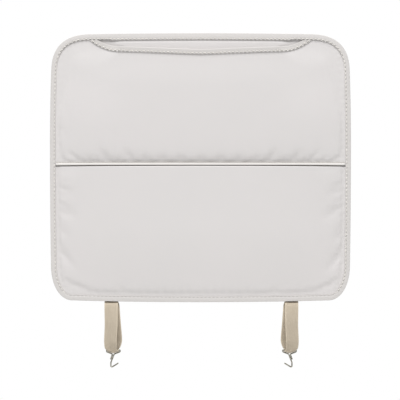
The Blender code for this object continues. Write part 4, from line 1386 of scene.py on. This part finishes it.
@dataclass
class ElasticLoop:
    """A loop of flat elastic: two tails behind the edge, two legs and the fold that carries the hook."""

    side: Side
    width: float = 0.0200
    fold_width: float = 0.0170
    offset: float = 0.1347
    pair_shift: float = 0.0014
    tail: float = 0.0075
    drop: float = 0.0006
    length: float = 0.0781
    spread: float = 0.0135
    shift: float = 0.0034
    turn: float = radians(18.0)
    fold_dip: float = 0.0034
    fold_radius: float = 0.0034
    thickness: float = 0.0011
    wire: float = 0.0020
    tail_back: float = -0.00070
    tail_front: float = -0.00210
    leg_front: float = -0.00840
    turned_share: float = 0.047
    ribs: int = 9
    relief: float = 0.00007

    @property
    def word(self) -> str:
        """The side's name."""
        return self.side.name.lower()

    def levels(self) -> tuple[float, float, float]:
        """Return the heights of the tails' ends, of the edge that the loop hangs from, and of its fold."""
        edge = float(LAYOUT.bowed(np.array(self.offset), np.array(0.0), np.array(-LAYOUT.half_height))[2])
        return edge + self.tail, edge, edge - self.length

    def fold_centre(self) -> tuple[float, float]:
        """Return the middle of the fold, as y and z."""
        _, _, fold = self.levels()
        y = -(self.width / 2.0 * sin(self.turn) + self.thickness + self.spread / 2.0)
        return y, fold + self.fold_dip + self.thickness + LAYOUT.seam_gap + self.wire / 2.0

    def path(self, count: int) -> Array:
        """Return even points of the loop's middle line: sideways shift, y, z, half width and turn."""
        tail, edge, fold = self.levels()
        middle, bar = self.fold_centre()
        front, back = middle - self.spread / 2.0, middle + self.spread / 2.0
        wide, narrow, shift, turn = self.width / 2.0, self.fold_width / 2.0, self.shift, self.turn
        belly = fold + 0.26 * self.length
        half = edge - 0.42 * self.length
        low = fold + self.thickness / 2.0 + self.fold_dip / 2.0
        radius = self.fold_radius
        near = edge - self.turned_share * self.length
        knots = np.array([
            (0.0, self.tail_front, tail, wide, 0.0),
            (0.0, self.tail_front, edge + self.tail / 2.0, wide, 0.0),
            (0.0, self.tail_front, edge, wide, 0.0),
            (0.0, self.tail_front, edge - self.drop, wide, 0.0),
            (0.0, self.leg_front, near, wide, 0.1 * turn),
            (0.1 * shift, front * 0.85 + middle * 0.15, half, wide, 0.8 * turn),
            (-0.2 * shift, front, belly, wide, turn),
            (0.0, middle - radius, bar, narrow, 0.0),
            (shift, middle - 0.7 * radius, low + 0.3 * radius, narrow, 0.0),
            (shift, middle, low, narrow, 0.0),
            (shift, middle + 0.7 * radius, low + 0.3 * radius, narrow, 0.0),
            (shift, middle + radius, bar, narrow, 0.0),
            (2.0 * shift, back, belly, wide, turn),
            (1.4 * shift, back * 0.85 + middle * 0.15, half, wide, 0.8 * turn),
            (0.5 * shift, (self.tail_back * 2.0 + back) / 3.0, near, wide, 0.2 * turn),
            (0.0, self.tail_back, edge - self.drop, wide, 0.0),
            (0.0, self.tail_back, edge, wide, 0.0),
            (0.0, self.tail_back, edge + self.tail / 2.0, wide, 0.0),
            (0.0, self.tail_back, tail, wide, 0.0),
        ])
        runs = np.diff(knots, axis=0)
        before, after = runs[:-1], runs[1:]
        total = before + after
        blended = 2.0 * before * after / np.where(total == 0.0, 1.0, total)
        slopes = np.vstack([runs[:1], np.where(before * after > 0.0, blended, 0.0), runs[-1:]])
        dense = []
        for index, run in enumerate(runs):
            for t in np.arange(0.0, 1.0, 0.02):
                lead = (t - 2.0 * t ** 2 + t ** 3) * slopes[index] + (t ** 3 - t ** 2) * slopes[index + 1]
                dense.append(knots[index] + (3.0 * t ** 2 - 2.0 * t ** 3) * run + lead)
        dense = np.vstack([dense, knots[-1:]])
        lengths = arc_lengths(dense[:, :3])
        places = np.linspace(0.0, lengths[-1], count)
        even = np.column_stack([np.interp(places, lengths, dense[:, axis]) for axis in range(5)])
        soft = even.copy()
        for _ in range(10):
            soft[1:-1] = (soft[:-2] + 2.0 * soft[1:-1] + soft[2:]) / 4.0
        return soft

    def surface(self, path: Array, along: Array) -> Array:
        """Return the band's middle surface, as points along its path by points across it."""
        _, bar = self.fold_centre()
        shift, y, z, half, turn = (path[:, axis:axis + 1] for axis in range(5))
        near_fold = ease(bar + self.fold_radius - z, self.fold_radius)
        lift = self.fold_dip * (np.sqrt(along ** 2 + 0.02) - 0.5) * near_fold
        run = half * along
        x = self.side.value * (self.offset - shift - run * np.cos(turn)) + self.pair_shift
        return np.stack([x, y - run * np.sin(turn), z + lift], axis=-1)

    def build(self) -> list[bpy.types.Object]:
        """Build the band and sew its tails down."""
        path = self.path(300)
        along = denser_ends(46, 0.86)
        middle = self.surface(path, along[None, :])
        normal = np.cross(np.gradient(middle, axis=0), np.gradient(middle, axis=1))
        normal /= np.linalg.norm(normal, axis=2, keepdims=True)
        edge = np.clip((np.abs(along) - 0.93) / 0.07, 0.0, 0.985)
        swell = self.relief * np.cos(along * pi * (self.ribs + 1))
        half = (self.thickness / 2.0 - self.relief + swell) * np.sqrt(1.0 - edge ** 2)
        front = middle + normal * half[None, :, None]
        back = middle - normal * half[None, :, None]
        bands = arc_lengths(path[:, :3]) / self.width
        across = (along + 1.0) / 2.0
        around = np.concatenate([across, across[::-1], across[:1]])
        chart = np.stack(np.broadcast_arrays(around[None, :], bands[:, None]), axis=-1)
        piece = shell(f"elastic_{self.word}", np.concatenate([front, back[:, ::-1]], axis=1), chart=chart)
        place_piece(piece, ELASTIC, "elastic_webbing", f"elastic_strap_{self.word}")
        _, edge_height, _ = self.levels()
        rows = []
        for height in (edge_height + 0.0022, edge_height + 0.0050):
            x = np.linspace(-0.0088, 0.0088, 40) + self.side.value * self.offset + self.pair_shift
            rows.append(np.column_stack([x, np.full(40, -0.00012), np.full(40, height)]))
        run = StitchRun(pitch=0.0025, length=0.0021, thickness=0.0007, rise=0.00025, sink=0.0004, seed=5)
        return [piece, run.sew(f"tail_stitches_{self.word}", rows, False, Facing.BACK)]


@dataclass
class WireHook:
    """A hook of bent plated wire: a flat eye round the loop's fold, a stem of two wires and an open hook."""

    loop: ElasticLoop
    wire: float = 0.0020
    eye_depth: float = 0.0052
    stem: float = 0.0202
    lean: float = 0.0038
    reach: float = 0.0078
    rise: float = 0.0068
    turn: float = radians(25.0)
    bend: float = 0.0016
    foot_bend: float = 0.0036

    def corners(self) -> list[Vector]:
        """Return the corners that the wire is bent at."""
        gap = LAYOUT.seam_gap
        middle, bar = self.loop.fold_centre()
        radius = self.wire / 2.0
        half_eye = self.loop.fold_width / 2.0 + gap + radius + gap
        twin = radius + gap / 2.0
        shoulder = bar - 0.5 * self.eye_depth
        apex = bar - self.eye_depth - radius
        foot = apex - self.stem
        centre = self.loop.offset - self.loop.shift
        flat = [
            (-twin - 0.7 * self.lean, apex - 0.35 * self.stem, 0.0),
            (-twin, apex, 0.0),
            (-half_eye, shoulder, 0.0),
            (-half_eye, bar, 0.0),
            (half_eye, bar, 0.0),
            (half_eye, shoulder, 0.0),
            (twin, apex, 0.0),
            (twin - 0.7 * self.lean, apex - 0.35 * self.stem, 0.0),
            (-0.95 * self.lean, apex - 0.6 * self.stem, 0.0),
            (-self.lean, foot, 0.0),
            (self.reach, foot + self.rise, self.turn),
        ]
        side, shift = self.loop.side.value, self.loop.pair_shift
        return [Vector((side * (centre - run * cos(turn)) + shift, middle - run * sin(turn), z))
                for run, z, turn in flat]

    def path(self) -> Array:
        """Return the wire's middle line, with each inner corner bent to an arc."""
        corners = self.corners()
        points = [corners[0]]
        bends = [self.bend] * (len(corners) - 3) + [self.foot_bend]
        for before, at, after, bend in zip(corners, corners[1:], corners[2:], bends):
            back, ahead = before - at, after - at
            angle = back.angle(ahead)
            trim = min(bend / max(np.tan(angle / 2.0), 0.05), back.length * 0.48, ahead.length * 0.48)
            start, end = at + back.normalized() * trim, at + ahead.normalized() * trim
            for t in np.linspace(0.0, 1.0, 9):
                points.append(start * (1.0 - t) ** 2 + at * 2.0 * t * (1.0 - t) + end * t ** 2)
        points.append(corners[-1])
        line = np.array([tuple(point) for point in points])
        line = line[np.concatenate([[True], np.linalg.norm(np.diff(line, axis=0), axis=1) > 1e-5])]
        return evenly(line, 190)

    def build(self) -> bpy.types.Object:
        """Build the wire."""
        word = self.loop.word
        piece = tube(f"wire_hook_{word}", self.path(), self.wire / 2.0)
        return place_piece(piece, PLATED, "plated_wire", f"hook_{word}")


@dataclass
class Studio:
    """The camera, the lamp, the white surroundings and the pale floor."""

    eye: tuple[float, float, float] = (-0.0007, -3.0200, -0.04845)
    lens: float = 181.65
    ambient: float = 0.39
    floor_height: float = -0.4600
    floor_reach: float = 0.90

    def camera(self) -> None:
        """Set up the camera of the photograph, which looks straight at the front from far away."""
        data = bpy.data.cameras.new("camera")
        data.lens = self.lens
        data.sensor_width = 36.0
        data.clip_end = 20.0
        camera = add_object("camera", data)
        camera.location = self.eye
        camera.rotation_euler = (pi / 2.0, 0.0, 0.0)
        bpy.context.scene.camera = camera

    def lamp(self, name: str, place: tuple[float, float, float], size: float, power: float) -> None:
        """Add a square soft lamp that faces the mat."""
        data = bpy.data.lights.new(name, "AREA")
        data.size = size
        data.energy = power
        lamp = add_object(name, data)
        lamp.location = place
        aim = Vector((0.0, 0.0, -0.03)) - Vector(place)
        lamp.rotation_euler = aim.to_track_quat("-Z", "Y").to_euler()

    def world(self) -> None:
        """Light the scene evenly, and show white to the camera and to what mirrors or bends its rays."""
        world = bpy.data.worlds.new("studio")
        bpy.context.scene.world = world
        world.use_nodes = True
        world.node_tree.nodes.clear()
        graph = Graph(world.node_tree)
        path = graph.node("ShaderNodeLightPath").outputs
        seen = graph.sum("MAXIMUM", path["Is Camera Ray"],
                         graph.sum("MAXIMUM", path["Is Glossy Ray"], path["Is Transmission Ray"]))
        soft = graph.node("ShaderNodeBackground", {"Color": (1.0, 1.0, 1.0, 1.0), "Strength": self.ambient})
        white = graph.node("ShaderNodeBackground", {"Color": (1.0, 1.0, 1.0, 1.0), "Strength": 1.0})
        both = graph.node("ShaderNodeMixShader", {0: seen, 1: soft.outputs[0], 2: white.outputs[0]})
        graph.node("ShaderNodeOutputWorld", {"Surface": both.outputs[0]})

    def floor(self) -> None:
        """Lay a pale round floor under the mat, small enough to stay out of the photograph's view."""
        mesh = bpy.data.meshes.new("floor")
        work = bmesh.new()
        bmesh.ops.create_circle(work, cap_ends=True, segments=96, radius=self.floor_reach)
        for vertex in work.verts:
            vertex.co.z = self.floor_height
        work.to_mesh(mesh)
        work.free()
        floor = add_object("floor", mesh)
        material = bpy.data.materials.new("floor_paper")
        material.use_nodes = True
        material.node_tree.nodes.clear()
        graph = Graph(material.node_tree)
        place = graph.node("ShaderNodeTexCoord").outputs["Object"]
        fibre = graph.noise(place, 900.0, 3.0)
        shader = graph.node("ShaderNodeBsdfPrincipled", {"Base Color": (0.93, 0.93, 0.92, 1.0)})
        graph.tree.links.new(graph.spread(fibre, 0.2, 0.8, 0.8, 0.95), shader.inputs["Roughness"])
        graph.node("ShaderNodeOutputMaterial", {"Surface": shader.outputs[0]})
        mesh.materials.append(material)

    def build(self) -> None:
        """Set up everything that isn't part of the mat."""
        scene = bpy.context.scene
        scene.view_settings.view_transform = "Standard"
        self.camera()
        self.world()
        self.lamp("key", (-0.15, -1.38, 2.66), 1.5, 97.0)
        self.floor()


def main() -> None:
    """Build the mat from its back to its front, then the studio."""
    logging.basicConfig(level=logging.INFO, format="%(name)s %(message)s", force=True)
    Lining().build()
    FOAM.dress(bpy.data.objects["foam_core"])
    BaseFace().build()
    PocketPanel(Pocket.UPPER, "upper_pocket_panel").build()
    PocketPanel(Pocket.LOWER, "lower_pocket_panel").build()
    EdgeBinding().build()
    MouthStrip().build()
    MiddleBand().build()
    for side in Side:
        loop = ElasticLoop(side)
        loop.build()
        WireHook(loop).build()
    Studio().build()


if __name__ == "__main__":
    main()
